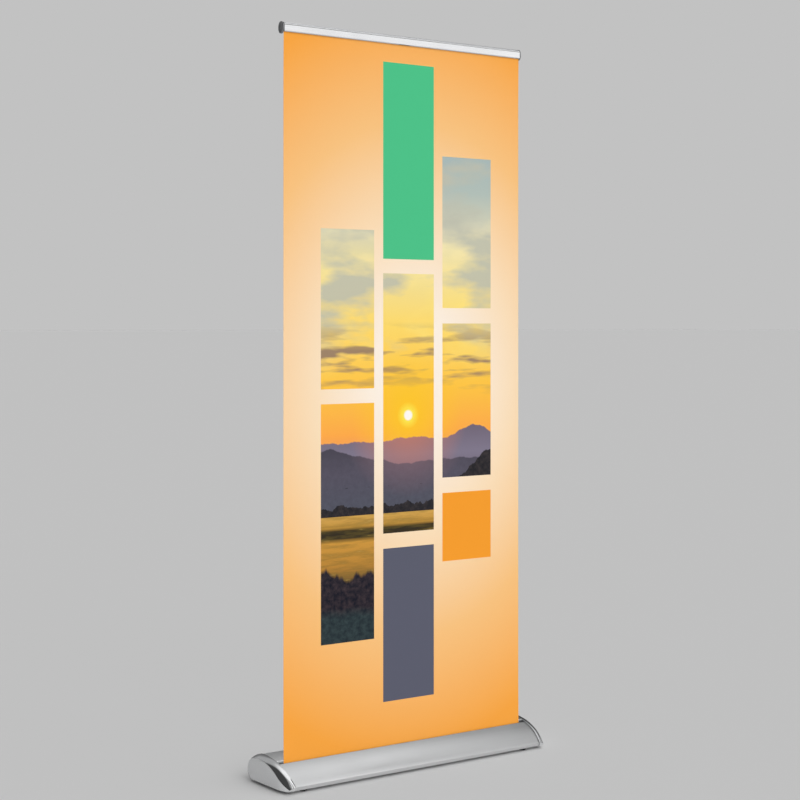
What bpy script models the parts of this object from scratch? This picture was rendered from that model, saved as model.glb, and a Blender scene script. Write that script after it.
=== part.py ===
"""Roll-up banner stand: wide teardrop base, telescoping pole, snap rail and printed film.

Metres, +Z up. The origin is on the floor under the middle of the base, and the front faces -Y.
Outlines of the base are written as (reach, height): reach is measured backwards from the
film's plane, height upwards from the underside of the housing.
"""
import math

import bmesh
import bpy
from mathutils import Vector

# ---- driving dimensions ----------------------------------------------------
GAP = 0.0003                # clearance between touching pieces
RUN = 0.0005                # clearance between pieces that slide or turn

FILM_WIDTH = 0.850
FILM_SHOWN = 2.045          # from the front slot lip to the rail's lower edge
FILM_THICK = 0.0005
FILM_IN_RAIL = 0.008        # how far the film reaches up into the rail

TOE_REACH = 0.084           # toe tip in front of the film
HEEL_REACH = 0.127          # heel behind the film
CREST = 0.071               # height of the housing
CREST_REACH = 0.075         # the crest behind the film
TOE_TIP = 0.012             # height of the toe tip
HEEL_TIP = 0.034            # height of the heel
TOE_ROUND = 0.008           # the toe's tip in front of the flat underside
HEEL_ROUND = 0.019          # the heel behind the flat underside
HOUSING_MARGIN = 0.024      # housing extrusions beyond the film, each end

# handles of the outlines' curves, measured from each curve's two ends
NOSE_HANDLES = ((-0.006, 0.0), (0.0, -0.007))
SLOPE_HANDLES = ((0.022, 0.028), (-0.080, 0.001))
CROWN_HANDLES = ((0.030, 0.0), (0.0, 0.022))
HEEL_HANDLES = ((0.0, -0.018), (0.010, 0.0))
PANEL_NOSE_HANDLES = ((-0.004, 0.0), (0.0, -0.003))
PANEL_SLOPE_HANDLES = ((0.046, 0.024), (-0.078, 0.0))
PANEL_CROWN_HANDLES = ((0.036, 0.0), (0.0, 0.020))
PANEL_HEEL_HANDLES = ((0.0, -0.014), (0.006, 0.001))

SHELL_WALL = 0.0020
SLOT_FRONT = 0.0050         # front lip of the slot, ahead of the film
SLOT_BACK = 0.0060          # rear lip of the slot, behind the film
LIP_DEPTH = 0.0065          # how far the lips turn down into the slot
BEAD_RADIUS = 0.0026        # rounded bead along the rear lip
BEAD_RISE = 0.0010          # the bead's centre above the lip
FLANGE = 0.032              # the shells' feet under the base plate

PLATE_THICK = 0.0025
FOOT_HEIGHT = 0.009
FOOT_RADIUS = 0.011
FOOT_END = 0.054            # feet in from the housing's ends
FOOT_TOE = 0.022            # front feet behind the toe's flat
FOOT_HEEL = 0.025           # back feet ahead of the heel's flat
STUD_RADIUS = 0.0040
STUD_LENGTH = 0.016
STUD_FLANGE = 0.0068        # radius of the washer face above the pad
PAD_CLEAR = 0.0022          # the pad's top below the housing
PAD_SHOULDER = 0.003        # the pad's top is narrower by this much
EDGE = 0.001                # chamfers on small turned pieces

CAP_SLEEVE = 0.0050         # the cap's rim overlaps the housing by this much
CAP_PROUD = 0.0025          # and stands above it by this much
CAP_WEB = 0.0030
CAP_BAND = 0.0195           # from the web's inner face to the outer edge
CAP_STATIONS = 8            # sections along the band
CAP_LIP = 0.0010            # bright edge round the side panel
CAP_TAPER = 0.0130          # the toe corner's sweep in plan
RIM_SWEEP = 0.46            # the rim's share of that sweep
BAND_BULGE = 2.2            # how late the band drops from the rim to the side panel
PANEL_THICK = 0.0020
PANEL_TOE_INSET = 0.003     # the side panel inside the housing's section
PANEL_HEEL_INSET = 0.0055
PANEL_CREST_INSET = 0.0065
PANEL_CREST_BACK = 0.009    # the panel's crest ahead of the housing's
PANEL_HEEL_DROP = 0.004     # and its heel below it
PANEL_TOE_FLAT = 0.007      # from the panel's toe back to its flat edge
PANEL_FLOOR = 0.0008        # the flat edge above the underside
PANEL_FLAT_INSET = 0.003
POCKET_LEDGE = 0.0020       # shoulder that the side panel rests on

SCREW_RADIUS = 0.0016
SCREW_HEAD = 0.0032
SCREW_LENGTH = 0.014
SCREW_DOME = 0.0018         # height of the pan head
CUT_PAST = 0.001            # how far a cut runs past what it cuts
PORT_RADIUS = 0.0050
PORT_HEIGHT = 0.0065
PORT_TOE = 0.0095           # front port behind the toe's flat
PORT_HEEL = 0.0115          # back port ahead of the heel's flat

ROLLER_RADIUS = 0.0160
ROLLER_WALL = 0.0015
ROLLER_MARGIN = 0.011       # roller beyond the film, each end
ROLLER_CLEAR = 0.0054       # wound film above the base plate
PACK_THICK = 0.0015
SHAFT_RADIUS = 0.0030
PLUG_DEPTH = 0.020
PLUG_FLANGE = 0.0030
SPRING_RADIUS = 0.0090
SPRING_WIRE = 0.0011
SPRING_TURNS = 14
SPRING_INSET = 0.036
SPRING_LENGTH = 0.280

POLE_REACH = 0.024          # pole axis behind the film
TUBE_OUTER = (0.0095, 0.0080, 0.0065)
TUBE_WALL = 0.0012
TUBE_OVERLAP = 0.045        # how far each tube stays inside the one below
SOCKET_CLEAR = 0.0062       # socket above the wound film
SOCKET_RISE = 0.012         # and above the crest
SOCKET_WALL = 0.0035
SOCKET_FLANGE = 0.0060
LOCK_HEIGHT = 0.040
LOCK_WALL = 0.0035
LOCK_GRIP = 0.016           # part of the lock that holds the tube below
LOCK_TAPER = 0.010          # length of the lock's narrowing top
LOCK_NARROWED = 0.0015
PLUG_LENGTH = 0.016         # plug in the lower tube's foot
SOCKET_FLANGE_THICK = 0.0020

RAIL_MARGIN = 0.0005        # rail beyond the film, each end
RAIL_FACE = 0.0060          # jaw face in front of the film
RAIL_HEIGHT = 0.0255
RAIL_BACK = 0.0180          # rail's back behind the film
RAIL_WALL = 0.0014
KNUCKLE_BEAD = 0.0013
KNUCKLE_WALL = 0.0010
GRIP_THICK = 0.0010
GRIP_HEIGHT = 0.0048
RAILCAP_THICK = 0.0052
RAILCAP_HALF = (0.0130, 0.0170)
TIP_BLADE = (0.016, 0.0040)  # half width and half depth of the blade in the rail
TIP_DROP = 0.029            # upper tube's end below the rail
TIP_INTO_RAIL = 0.014
TIP_STEM = 0.025            # the tip's stem inside the upper tube
TIP_UNDER_RAIL = 0.0023     # the tip's arm below the rail
TIP_ARM_SHARE = 0.92        # the arm's thickness as a share of the collar's height
JAW_NECK = (-0.0008, -0.0029)  # the jaw's neck, from the middle of its bead
JAW_SHOULDER = 0.0020       # and down to the top of its face
KNUCKLE_OPEN = (152, -70)   # where the knuckle's socket starts and stops, in degrees
RAILCAP_BACK = 0.0020       # the cap behind the rail's back
RAILCAP_DROP = 0.0015       # the cap's middle below the rail's
RAILCAP_EASE = 0.90         # size of the cap's outer face
RAILCAP_ROUND = (0.85, 0.95)  # how square the cap is, along and up
RAILCAP_SIDES = 28
MITRE = 0.35                # sharpest bend that an offset still follows in full

# ---- derived places --------------------------------------------------------
FILM_Y = -(HEEL_REACH - TOE_REACH) / 2
UNDERSIDE = FOOT_HEIGHT
SHELL_HALF = FILM_WIDTH / 2 + HOUSING_MARGIN
ROLLER_HALF = FILM_WIDTH / 2 + ROLLER_MARGIN
RAIL_HALF = FILM_WIDTH / 2 + RAIL_MARGIN
TOE_FLAT = TOE_REACH - TOE_ROUND
HEEL_FLAT = HEEL_REACH - HEEL_ROUND
FOOT_X = SHELL_HALF - FOOT_END
FOOT_FRONT = -TOE_FLAT + FOOT_TOE
FOOT_BACK = HEEL_FLAT - FOOT_HEEL
PORT_FRONT = (-TOE_FLAT + PORT_TOE, PORT_HEIGHT)
PORT_BACK = (HEEL_FLAT - PORT_HEEL, PORT_HEIGHT)
RIM_X = SHELL_HALF - CAP_SLEEVE
WEB_X = SHELL_HALF + GAP + CAP_WEB
EDGE_X = SHELL_HALF + GAP + CAP_BAND
PACK_RADIUS = ROLLER_RADIUS + GAP + PACK_THICK
ROLLER_REACH = FILM_THICK / 2 + GAP + PACK_RADIUS
ROLLER_HEIGHT = SHELL_WALL + GAP + PLATE_THICK + ROLLER_CLEAR + PACK_RADIUS
ROLLER_Y = FILM_Y + ROLLER_REACH
ROLLER_Z = UNDERSIDE + ROLLER_HEIGHT
SPRING_FROM = -ROLLER_HALF + SPRING_INSET
POLE_Y = FILM_Y + POLE_REACH
SOCKET_BOTTOM = ROLLER_HEIGHT + PACK_RADIUS + SOCKET_CLEAR
SOCKET_TOP = CREST + SOCKET_RISE
SLOPE_STEPS = 14
CROWN_STEPS = 7
HEEL_STEPS = 4
TOE_TIP_POINT = 4           # index of the toe tip in a section's points
CREASE = 8                  # index of the top point where the toe's sweep starts


# ---- outlines --------------------------------------------------------------
def cubic(start, handles, end, count):
    """Points of a cubic curve, without its last point."""
    pull, push = handles
    knots = (start, (start[0] + pull[0], start[1] + pull[1]), (end[0] + push[0], end[1] + push[1]), end)
    points = []
    for i in range(count):
        t = i / count
        u = 1 - t
        weights = (u ** 3, 3 * u * u * t, 3 * u * t * t, t ** 3)
        points.append(tuple(sum(w * k[axis] for w, k in zip(weights, knots)) for axis in (0, 1)))
    return points


def nose_points():
    """Toe from the underside up to its tip."""
    return cubic((-TOE_FLAT, 0.0), NOSE_HANDLES, (-TOE_REACH, TOE_TIP), TOE_TIP_POINT)


def slope_points():
    """Housing surface from the toe tip up to the crest."""
    return cubic((-TOE_REACH, TOE_TIP), SLOPE_HANDLES, (CREST_REACH, CREST), SLOPE_STEPS)


def heel_points():
    """Housing surface from the crest over the heel to the underside."""
    heel = (HEEL_REACH, HEEL_TIP)
    flat = (HEEL_FLAT, 0.0)
    upper = cubic((CREST_REACH, CREST), CROWN_HANDLES, heel, CROWN_STEPS)
    return upper + cubic(heel, HEEL_HANDLES, flat, HEEL_STEPS) + [flat]


def with_crease(outline):
    """The outline with a point on its underside, below the top point where the toe's sweep starts."""
    return outline + [(outline[CREASE][0], outline[0][1])]


def housing_outline():
    """The whole closed housing section, with its crest to the right of its toe."""
    return with_crease(nose_points() + slope_points() + heel_points())


def panel_outline():
    """The side panel's section, point for point like the housing's."""
    toe = (-TOE_REACH + PANEL_TOE_INSET, TOE_TIP / 2)
    toe_flat = (toe[0] + PANEL_TOE_FLAT, PANEL_FLOOR)
    crest = (CREST_REACH - PANEL_CREST_BACK, CREST - PANEL_CREST_INSET)
    heel = (HEEL_REACH - PANEL_HEEL_INSET, HEEL_TIP - PANEL_HEEL_DROP)
    flat = (HEEL_FLAT - PANEL_FLAT_INSET, PANEL_FLOOR)
    nose = cubic(toe_flat, PANEL_NOSE_HANDLES, toe, TOE_TIP_POINT)
    slope = cubic(toe, PANEL_SLOPE_HANDLES, crest, SLOPE_STEPS)
    upper = cubic(crest, PANEL_CROWN_HANDLES, heel, CROWN_STEPS)
    lower = cubic(heel, PANEL_HEEL_HANDLES, flat, HEEL_STEPS)
    return with_crease(nose + slope + upper + lower + [flat])


def grown(outline, amount, floor=None):
    """A closed outline moved outwards, point for point, and kept above floor if one is given."""
    moved = []
    for i, point in enumerate(outline):
        before = Vector(outline[i - 1])
        after = Vector(outline[(i + 1) % len(outline)])
        here = Vector(point)
        ways = [(here - before).normalized(), (after - here).normalized()]
        normals = [Vector((-way.y, way.x)) for way in ways]
        bisector = (normals[0] + normals[1]).normalized()
        moved_point = here + bisector * (amount / max(bisector.dot(normals[0]), 0.5))
        height = moved_point.y if floor is None else max(moved_point.y, floor)
        moved.append((moved_point.x, height))
    return moved


def interpolated(points, reach):
    """Height of a curve at the reach given."""
    for (y0, z0), (y1, z1) in zip(points, points[1:]):
        if y0 <= reach <= y1:
            return z0 + (z1 - z0) * (reach - y0) / (y1 - y0)
    return points[-1][1]


def shrunk(outline, amount):
    """A closed outline moved inwards, without the points that its narrow toe has no room for."""
    def clearance(point):
        nearest = []
        for start, end in zip(outline, outline[1:] + outline[:1]):
            way = Vector(end) - Vector(start)
            share = (Vector(point) - Vector(start)).dot(way) / max(way.length_squared, 1e-12)
            foot = Vector(start) + way * min(max(share, 0.0), 1.0)
            nearest.append((Vector(point) - foot).length)
        return min(nearest)

    return [point for point in grown(outline, -amount) if clearance(point) > amount * 0.98]


def strip(path, thick):
    """A closed outline of constant thickness along an open path."""
    left, right = [], []
    for i, point in enumerate(path):
        here = Vector(point)
        ways = []
        if i > 0:
            ways.append((here - Vector(path[i - 1])).normalized())
        if i < len(path) - 1:
            ways.append((Vector(path[i + 1]) - here).normalized())
        normals = [Vector((-way.y, way.x)) for way in ways]
        bisector = sum(normals, Vector((0, 0))).normalized()
        reach = thick / 2 / max(bisector.dot(normals[0]), MITRE)
        left.append(tuple(here + bisector * reach))
        right.append(tuple(here - bisector * reach))
    return left + right[::-1]


def inset_path(skin, inner):
    """The middle line of a shell whose outer skin is given, clockwise seen from +X."""
    path = []
    for i, point in enumerate(skin):
        here = Vector(point)
        ways = []
        if i > 0:
            ways.append((here - Vector(skin[i - 1])).normalized())
        if i < len(skin) - 1:
            ways.append((Vector(skin[i + 1]) - here).normalized())
        normals = [Vector((way.y, -way.x)) for way in ways]
        bisector = sum(normals, Vector((0, 0))).normalized()
        path.append(tuple(here + bisector * (inner / max(bisector.dot(normals[0]), MITRE))))
    return path


def arc(centre, radius, start, stop, count):
    """Points on an arc, angles in degrees, both ends included."""
    points = []
    for i in range(count + 1):
        angle = math.radians(start + (stop - start) * i / count)
        points.append((centre[0] + radius * math.cos(angle), centre[1] + radius * math.sin(angle)))
    return points


def swept_ring(outline, side, x, share):
    """The outline as a ring at x, whose toe draws inwards in plan by a share of CAP_TAPER."""
    crease = outline[CREASE][0]
    toe = outline[TOE_TIP_POINT][0]
    ring = []
    for reach, height in outline:
        sweep = CAP_TAPER * share * max((crease - reach) / (crease - toe), 0.0)
        ring.append((side * (x - sweep), FILM_Y + reach, UNDERSIDE + height))
    return ring


# ---- heights that follow from the outlines ----------------------------------
RAIL_Z = UNDERSIDE + interpolated(slope_points(), -SLOT_FRONT) + FILM_SHOWN
KNUCKLE_OUTER = KNUCKLE_BEAD + GAP + KNUCKLE_WALL
KNUCKLE = (-RAIL_FACE + KNUCKLE_OUTER, RAIL_HEIGHT - KNUCKLE_OUTER)
GRIP_FACE = FILM_THICK / 2 + GAP
GROOVE_FRONT = GRIP_FACE + GRIP_THICK + GAP + RAIL_WALL
GROOVE_BACK = RAIL_BACK - KNUCKLE_WALL
POLE_FOOT = UNDERSIDE + SOCKET_BOTTOM
POLE_STAGE = (RAIL_Z - TIP_DROP - POLE_FOOT) / 3
TUBE_TOP = tuple(POLE_FOOT + POLE_STAGE * (level + 1) for level in range(3))


# ---- solids ----------------------------------------------------------------
def finished(name, mesh, material, parent=None, origin=(0, 0, 0)):
    """An object whose mesh is closed, faces outwards and has its origin at the place given."""
    bm = bmesh.new()
    bm.from_mesh(mesh)
    bmesh.ops.remove_doubles(bm, verts=bm.verts, dist=1e-6)
    bmesh.ops.translate(bm, verts=bm.verts, vec=-Vector(origin))
    bmesh.ops.recalc_face_normals(bm, faces=bm.faces)
    bm.to_mesh(mesh)
    bm.free()
    obj = bpy.data.objects.new(name, mesh)
    bpy.context.collection.objects.link(obj)
    mesh.materials.append(material)
    obj.location = origin
    if parent is not None:
        obj.parent = parent
        obj.matrix_parent_inverse = parent.matrix_world.inverted()
    return obj


def loft_mesh(name, rings, creased=False):
    """A closed mesh through rings of points, with flat ends, or ends folded along the crease."""
    mesh = bpy.data.meshes.new(name)
    bm = bmesh.new()
    rows = [[bm.verts.new(point) for point in ring] for ring in rings]
    for low, high in zip(rows, rows[1:]):
        for i in range(len(low)):
            j = (i + 1) % len(low)
            bm.faces.new((low[i], low[j], high[j], high[i]))
    for row in (rows[0], rows[-1]):
        if creased:
            bm.faces.new(row[:CREASE + 1] + row[-1:])
            bm.faces.new(row[CREASE:])
        else:
            bm.faces.new(row)
    bmesh.ops.recalc_face_normals(bm, faces=bm.faces)
    bm.to_mesh(mesh)
    bm.free()
    return mesh


def base_ring(outline, x):
    """An outline of the base as world points in the plane at x."""
    return [(x, FILM_Y + reach, UNDERSIDE + height) for reach, height in outline]


def base_prism(name, outline, x0, x1):
    return loft_mesh(name, [base_ring(outline, x0), base_ring(outline, x1)])


def rail_prism(name, outline, x0, x1):
    """Like base_prism, with heights measured from the rail's lower edge."""
    rings = [[(x, FILM_Y + reach, RAIL_Z + height) for reach, height in outline] for x in (x0, x1)]
    return loft_mesh(name, rings)


def turned_rings(profile, sides, axis_point, axis):
    """One ring of points for each (radius, height) of a profile turned about an axis."""
    rings = []
    for radius, height in profile:
        ring = []
        for i in range(sides):
            angle = 2 * math.pi * (i + 0.5) / sides
            across = (radius * math.cos(angle), radius * math.sin(angle))
            local = (across[0], across[1], height) if axis == "Z" else (height, across[0], across[1])
            ring.append(Vector(axis_point) + Vector(local))
        rings.append(ring)
    return rings


def rod(name, profile, sides, axis_point, axis="Z"):
    """A turned solid with flat ends."""
    return loft_mesh(name, turned_rings(profile, sides, axis_point, axis))


def tube(name, profile, sides, axis_point, axis="Z"):
    """A ring-shaped solid: the profile is closed on itself."""
    rings = turned_rings(profile, sides, axis_point, axis)
    mesh = bpy.data.meshes.new(name)
    bm = bmesh.new()
    rows = [[bm.verts.new(point) for point in ring] for ring in rings]
    for low, high in zip(rows, rows[1:] + rows[:1]):
        for i in range(sides):
            j = (i + 1) % sides
            bm.faces.new((low[i], low[j], high[j], high[i]))
    bmesh.ops.recalc_face_normals(bm, faces=bm.faces)
    bm.to_mesh(mesh)
    bm.free()
    return mesh


def cutter(name, mesh):
    obj = bpy.data.objects.new(name, mesh)
    bpy.context.collection.objects.link(obj)
    obj.hide_render = True
    obj.display_type = "WIRE"
    return obj


def boolean(obj, other, operation):
    step = obj.modifiers.new(other.name, "BOOLEAN")
    step.object = other
    step.operation = operation
    step.solver = "EXACT"


def smooth(obj, degrees=35):
    """Smooth shading with sharp edges kept."""
    obj.data.shade_smooth()
    obj.data.set_sharp_from_angle(angle=math.radians(degrees))


def material(name, colour, roughness, metallic):
    shade = bpy.data.materials.new(name)
    shade.use_nodes = True
    shader = shade.node_tree.nodes["Principled BSDF"]
    shader.inputs["Base Color"].default_value = (*colour, 1)
    shader.inputs["Roughness"].default_value = roughness
    shader.inputs["Metallic"].default_value = metallic
    return shade


# ---- base ------------------------------------------------------------------
def front_housing(finish):
    """Toe, slope and front slot lip, one bent section."""
    inner = SHELL_WALL / 2
    slope = [point for point in slope_points() if point[0] < -SLOT_FRONT - 2 * SHELL_WALL]
    lip_height = interpolated(slope_points(), -SLOT_FRONT - inner)
    skin = [(-TOE_FLAT + FLANGE, 0.0)] + nose_points() + slope
    skin.append((-SLOT_FRONT, lip_height))
    path = inset_path(skin, inner)
    path[-1] = (-SLOT_FRONT - inner, lip_height - inner)
    path.append((-SLOT_FRONT - inner, lip_height - LIP_DEPTH))
    shell = base_prism("front_housing", strip(path, SHELL_WALL), -SHELL_HALF, SHELL_HALF)
    obj = finished("front_housing", shell, finish)
    add_port(obj, PORT_FRONT)
    drill_feet(obj, FOOT_FRONT)
    smooth(obj)
    return obj


def rear_housing(finish):
    """Rear slot lip with its bead, crest and heel, with the hole for the pole socket."""
    inner = SHELL_WALL / 2
    slope = [point for point in slope_points() if point[0] > SLOT_BACK + 2 * BEAD_RADIUS]
    lip_height = interpolated(slope_points(), SLOT_BACK)
    skin = [(SLOT_BACK, lip_height)] + slope + heel_points() + [(HEEL_FLAT - FLANGE, 0.0)]
    path = inset_path(skin, inner)
    path[0] = (SLOT_BACK + inner, lip_height - inner)
    path.insert(0, (SLOT_BACK + inner, lip_height - LIP_DEPTH))
    shell = base_prism("rear_housing", strip(path, SHELL_WALL), -SHELL_HALF, SHELL_HALF)
    obj = finished("rear_housing", shell, finish)
    bead_centre = (SLOT_BACK + BEAD_RADIUS, lip_height + BEAD_RISE)
    bead = arc(bead_centre, BEAD_RADIUS, 180, -150, 11)
    reach = RIM_X - GAP
    boolean(obj, cutter("bead_guide", base_prism("bead_guide", bead, -reach, reach)), "UNION")
    add_port(obj, PORT_BACK)
    drill_feet(obj, FOOT_BACK)
    radius = TUBE_OUTER[0] + GAP + SOCKET_WALL + GAP
    span = (UNDERSIDE + SOCKET_BOTTOM, UNDERSIDE + SOCKET_TOP)
    hole = rod("socket_hole", [(radius, height) for height in span], 24, (0, POLE_Y, 0))
    boolean(obj, cutter("socket_hole", hole), "DIFFERENCE")
    smooth(obj)
    return obj


def add_port(obj, place):
    """A screw port along the whole extrusion."""
    outer = arc(place, PORT_RADIUS, 0, 330, 11)
    inner = arc(place, SCREW_RADIUS + GAP, 0, 315, 7)
    boolean(obj, cutter(obj.name + "_port", base_prism("port", outer, -SHELL_HALF, SHELL_HALF)), "UNION")
    reach = SHELL_HALF + CUT_PAST
    boolean(obj, cutter(obj.name + "_port_bore", base_prism("bore", inner, -reach, reach)), "DIFFERENCE")


def drill_feet(obj, reach):
    """Clearance holes for the two studs at one edge of the base."""
    radius = STUD_RADIUS + GAP
    for side in (-1, 1):
        spot = (side * FOOT_X, FILM_Y + reach, UNDERSIDE)
        top = 2 * SHELL_WALL + PLATE_THICK
        hole = rod("stud_hole", [(radius, -CUT_PAST), (radius, top)], 16, spot)
        boolean(obj, cutter(f"{obj.name}_stud_{side}", hole), "DIFFERENCE")


def base_plate(finish):
    """Steel floor of the base, resting on the shells' flanges."""
    low = SHELL_WALL + GAP
    high = low + PLATE_THICK
    front = PORT_FRONT[0] + PORT_RADIUS + GAP
    back = PORT_BACK[0] - PORT_RADIUS - GAP
    outline = [(front, low), (front, high), (back, high), (back, low)]
    half = SHELL_HALF - GAP
    obj = finished("base_plate", base_prism("base_plate", outline, -half, half), finish)
    for reach in (FOOT_FRONT, FOOT_BACK):
        drill_feet(obj, reach)
    return obj


def end_cap(name, side, finish):
    """Chrome cap: a rim over the housing, a web, and a domed band down to the side panel."""
    rim = grown(housing_outline(), CAP_PROUD, floor=0.0)
    edge = grown(panel_outline(), CAP_LIP, floor=0.0)
    rings = []
    for i in range(CAP_STATIONS + 1):
        share = i / CAP_STATIONS
        drop = share ** BAND_BULGE
        x = RIM_X + (EDGE_X - RIM_X) * share
        section = []
        for (y0, z0), (y1, z1) in zip(rim, edge):
            section.append((y0 + (y1 - y0) * drop, z0 + (z1 - z0) * drop))
        rings.append(swept_ring(section, side, x, RIM_SWEEP + (1 - RIM_SWEEP) * share))
    obj = finished(name, loft_mesh(name, rings, creased=True), finish)
    sleeve = grown(housing_outline(), GAP)
    span = (RIM_X - CAP_TAPER, SHELL_HALF + GAP)
    inside = loft_mesh("sleeve", [base_ring(sleeve, side * x) for x in span])
    boolean(obj, cutter(f"{name}_sleeve", inside), "DIFFERENCE")
    pocket = shrunk(panel_outline(), POCKET_LEDGE)
    outside = EDGE_X + PANEL_THICK
    hollow = loft_mesh("pocket", [base_ring(pocket, side * x) for x in (WEB_X, outside)])
    boolean(obj, cutter(f"{name}_pocket", hollow), "DIFFERENCE")
    recess = grown(panel_outline(), GAP)
    seat_rings = [swept_ring(recess, side, x, 1.0) for x in (EDGE_X - PANEL_THICK - GAP, outside)]
    seat = loft_mesh("seat", seat_rings, creased=True)
    boolean(obj, cutter(f"{name}_seat", seat), "DIFFERENCE")
    for place in (PORT_FRONT, PORT_BACK):
        spot = (0, FILM_Y + place[0], UNDERSIDE + place[1])
        radius = SCREW_RADIUS + GAP
        hole = rod("hole", [(radius, side * x) for x in (SHELL_HALF - CUT_PAST, EDGE_X)], 10, spot, "X")
        boolean(obj, cutter(f"{name}_hole_{place[0]:.2f}", hole), "DIFFERENCE")
    radius = SHAFT_RADIUS + GAP
    span = [(radius, side * x) for x in (SHELL_HALF - CUT_PAST, EDGE_X)]
    axle = rod("axle", span, 12, (0, ROLLER_Y, ROLLER_Z), "X")
    boolean(obj, cutter(f"{name}_axle", axle), "DIFFERENCE")
    smooth(obj)
    return obj


def side_panel(name, side, finish):
    rings = [swept_ring(panel_outline(), side, x, 1.0) for x in (EDGE_X - PANEL_THICK, EDGE_X)]
    obj = finished(name, loft_mesh(name, rings, creased=True), finish)
    smooth(obj)
    return obj


def cap_screw(name, side, place, finish):
    """Pan-head screw through the cap's web into the housing's port."""
    spot = (0, FILM_Y + place[0], UNDERSIDE + place[1])
    head = WEB_X + GAP
    profile = [(SCREW_RADIUS, side * (head - SCREW_LENGTH)), (SCREW_RADIUS, side * head)]
    for tilt in (0, 45, 75):
        angle = math.radians(tilt)
        profile.append((SCREW_HEAD * math.cos(angle), side * (head + SCREW_DOME * math.sin(angle))))
    obj = finished(name, rod(name, profile, 12, spot, "X"), finish)
    smooth(obj)
    return obj


# ---- roller ----------------------------------------------------------------
def sleeve_profile(bore, outer, low, high):
    """Section of a plain tube."""
    return [(bore, low), (outer, low), (outer, high), (bore, high)]


def roller_parts(pivot, tube_finish, plug_finish, film_finish):
    axis = (0, ROLLER_Y, ROLLER_Z)
    bore = ROLLER_RADIUS - ROLLER_WALL
    wall = sleeve_profile(bore, ROLLER_RADIUS, -ROLLER_HALF, ROLLER_HALF)
    smooth(finished("roller_tube", tube("roller_tube", wall, 24, axis, "X"), tube_finish, pivot, axis))
    half = FILM_WIDTH / 2
    pack = sleeve_profile(ROLLER_RADIUS + GAP, PACK_RADIUS, -half, half)
    smooth(finished("film_pack", tube("film_pack", pack, 24, axis, "X"), film_finish, pivot, axis))
    for name, side in (("left", -1), ("right", 1)):
        face = ROLLER_HALF + GAP
        stem = bore - GAP
        hole = SHAFT_RADIUS + GAP
        inner_end = side * (face - PLUG_DEPTH)
        outer_end = side * (face + PLUG_FLANGE)
        profile = [(hole, inner_end), (stem, inner_end), (stem, side * face),
                   (ROLLER_RADIUS, side * face), (ROLLER_RADIUS, outer_end), (hole, outer_end)]
        label = f"roller_plug_{name}"
        smooth(finished(label, tube(label, profile, 20, axis, "X"), plug_finish, pivot, axis))


def spring_shaft(finish):
    """Fixed shaft through the roller; its ends sit in the caps' webs."""
    reach = WEB_X - CUT_PAST
    profile = [(SHAFT_RADIUS, -reach), (SHAFT_RADIUS, reach)]
    shaft = rod("spring_shaft", profile, 12, (0, ROLLER_Y, ROLLER_Z), "X")
    smooth(finished("spring_shaft", shaft, finish))


def torsion_spring(finish):
    """Coil that winds the film back in."""
    per_turn = 10
    sides = 5
    rings = []
    for i in range(SPRING_TURNS * per_turn + 1):
        angle = 2 * math.pi * i / per_turn
        x = SPRING_FROM + SPRING_LENGTH * i / (SPRING_TURNS * per_turn)
        out = Vector((0, math.cos(angle), math.sin(angle)))
        centre = Vector((x, ROLLER_Y, ROLLER_Z)) + out * SPRING_RADIUS
        ring = []
        for k in range(sides):
            turn = 2 * math.pi * k / sides
            ring.append(centre + (out * math.cos(turn) + Vector((math.sin(turn), 0, 0))) * SPRING_WIRE)
        rings.append(ring)
    smooth(finished("torsion_spring", loft_mesh("torsion_spring", rings), finish), 60)


# ---- pole ------------------------------------------------------------------
def tube_bottom(level):
    if level == 0:
        return UNDERSIDE + SOCKET_BOTTOM + SOCKET_WALL + GAP
    return TUBE_TOP[level - 1] - TUBE_OVERLAP


def pole_socket(finish):
    """Flanged cup in the housing's crest, where the pole stands."""
    bore = TUBE_OUTER[0] + GAP
    outer = bore + SOCKET_WALL
    low = UNDERSIDE + SOCKET_BOTTOM
    high = UNDERSIDE + SOCKET_TOP
    flange = UNDERSIDE + CREST + GAP
    shoulder = flange + SOCKET_FLANGE_THICK
    profile = [(outer, low), (outer, flange), (outer + SOCKET_FLANGE, flange),
               (outer + SOCKET_FLANGE, shoulder), (outer, shoulder + SOCKET_FLANGE_THICK), (outer, high)]
    obj = finished("pole_socket", rod("pole_socket", profile, 24, (0, POLE_Y, 0)), finish)
    hollow = rod("cup", [(bore, low + SOCKET_WALL), (bore, high + CUT_PAST)], 24, (0, POLE_Y, 0))
    boolean(obj, cutter("pole_socket_bore", hollow), "DIFFERENCE")
    smooth(obj)


def pole_tube(name, level, parent, finish):
    outer = TUBE_OUTER[level]
    profile = sleeve_profile(outer - TUBE_WALL, outer, tube_bottom(level), TUBE_TOP[level])
    smooth(finished(name, tube(name, profile, 20, (0, POLE_Y, 0)), finish, parent))


def foot_plug(finish):
    """Plastic plug in the lower tube's end."""
    bore = TUBE_OUTER[0] - TUBE_WALL - GAP
    low = tube_bottom(0) + EDGE
    high = low + PLUG_LENGTH
    profile = [(bore - EDGE, low), (bore, low + EDGE), (bore, high), (bore - 2 * EDGE, high + EDGE)]
    smooth(finished("pole_foot_plug", rod("pole_foot_plug", profile, 16, (0, POLE_Y, 0)), finish))


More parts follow.
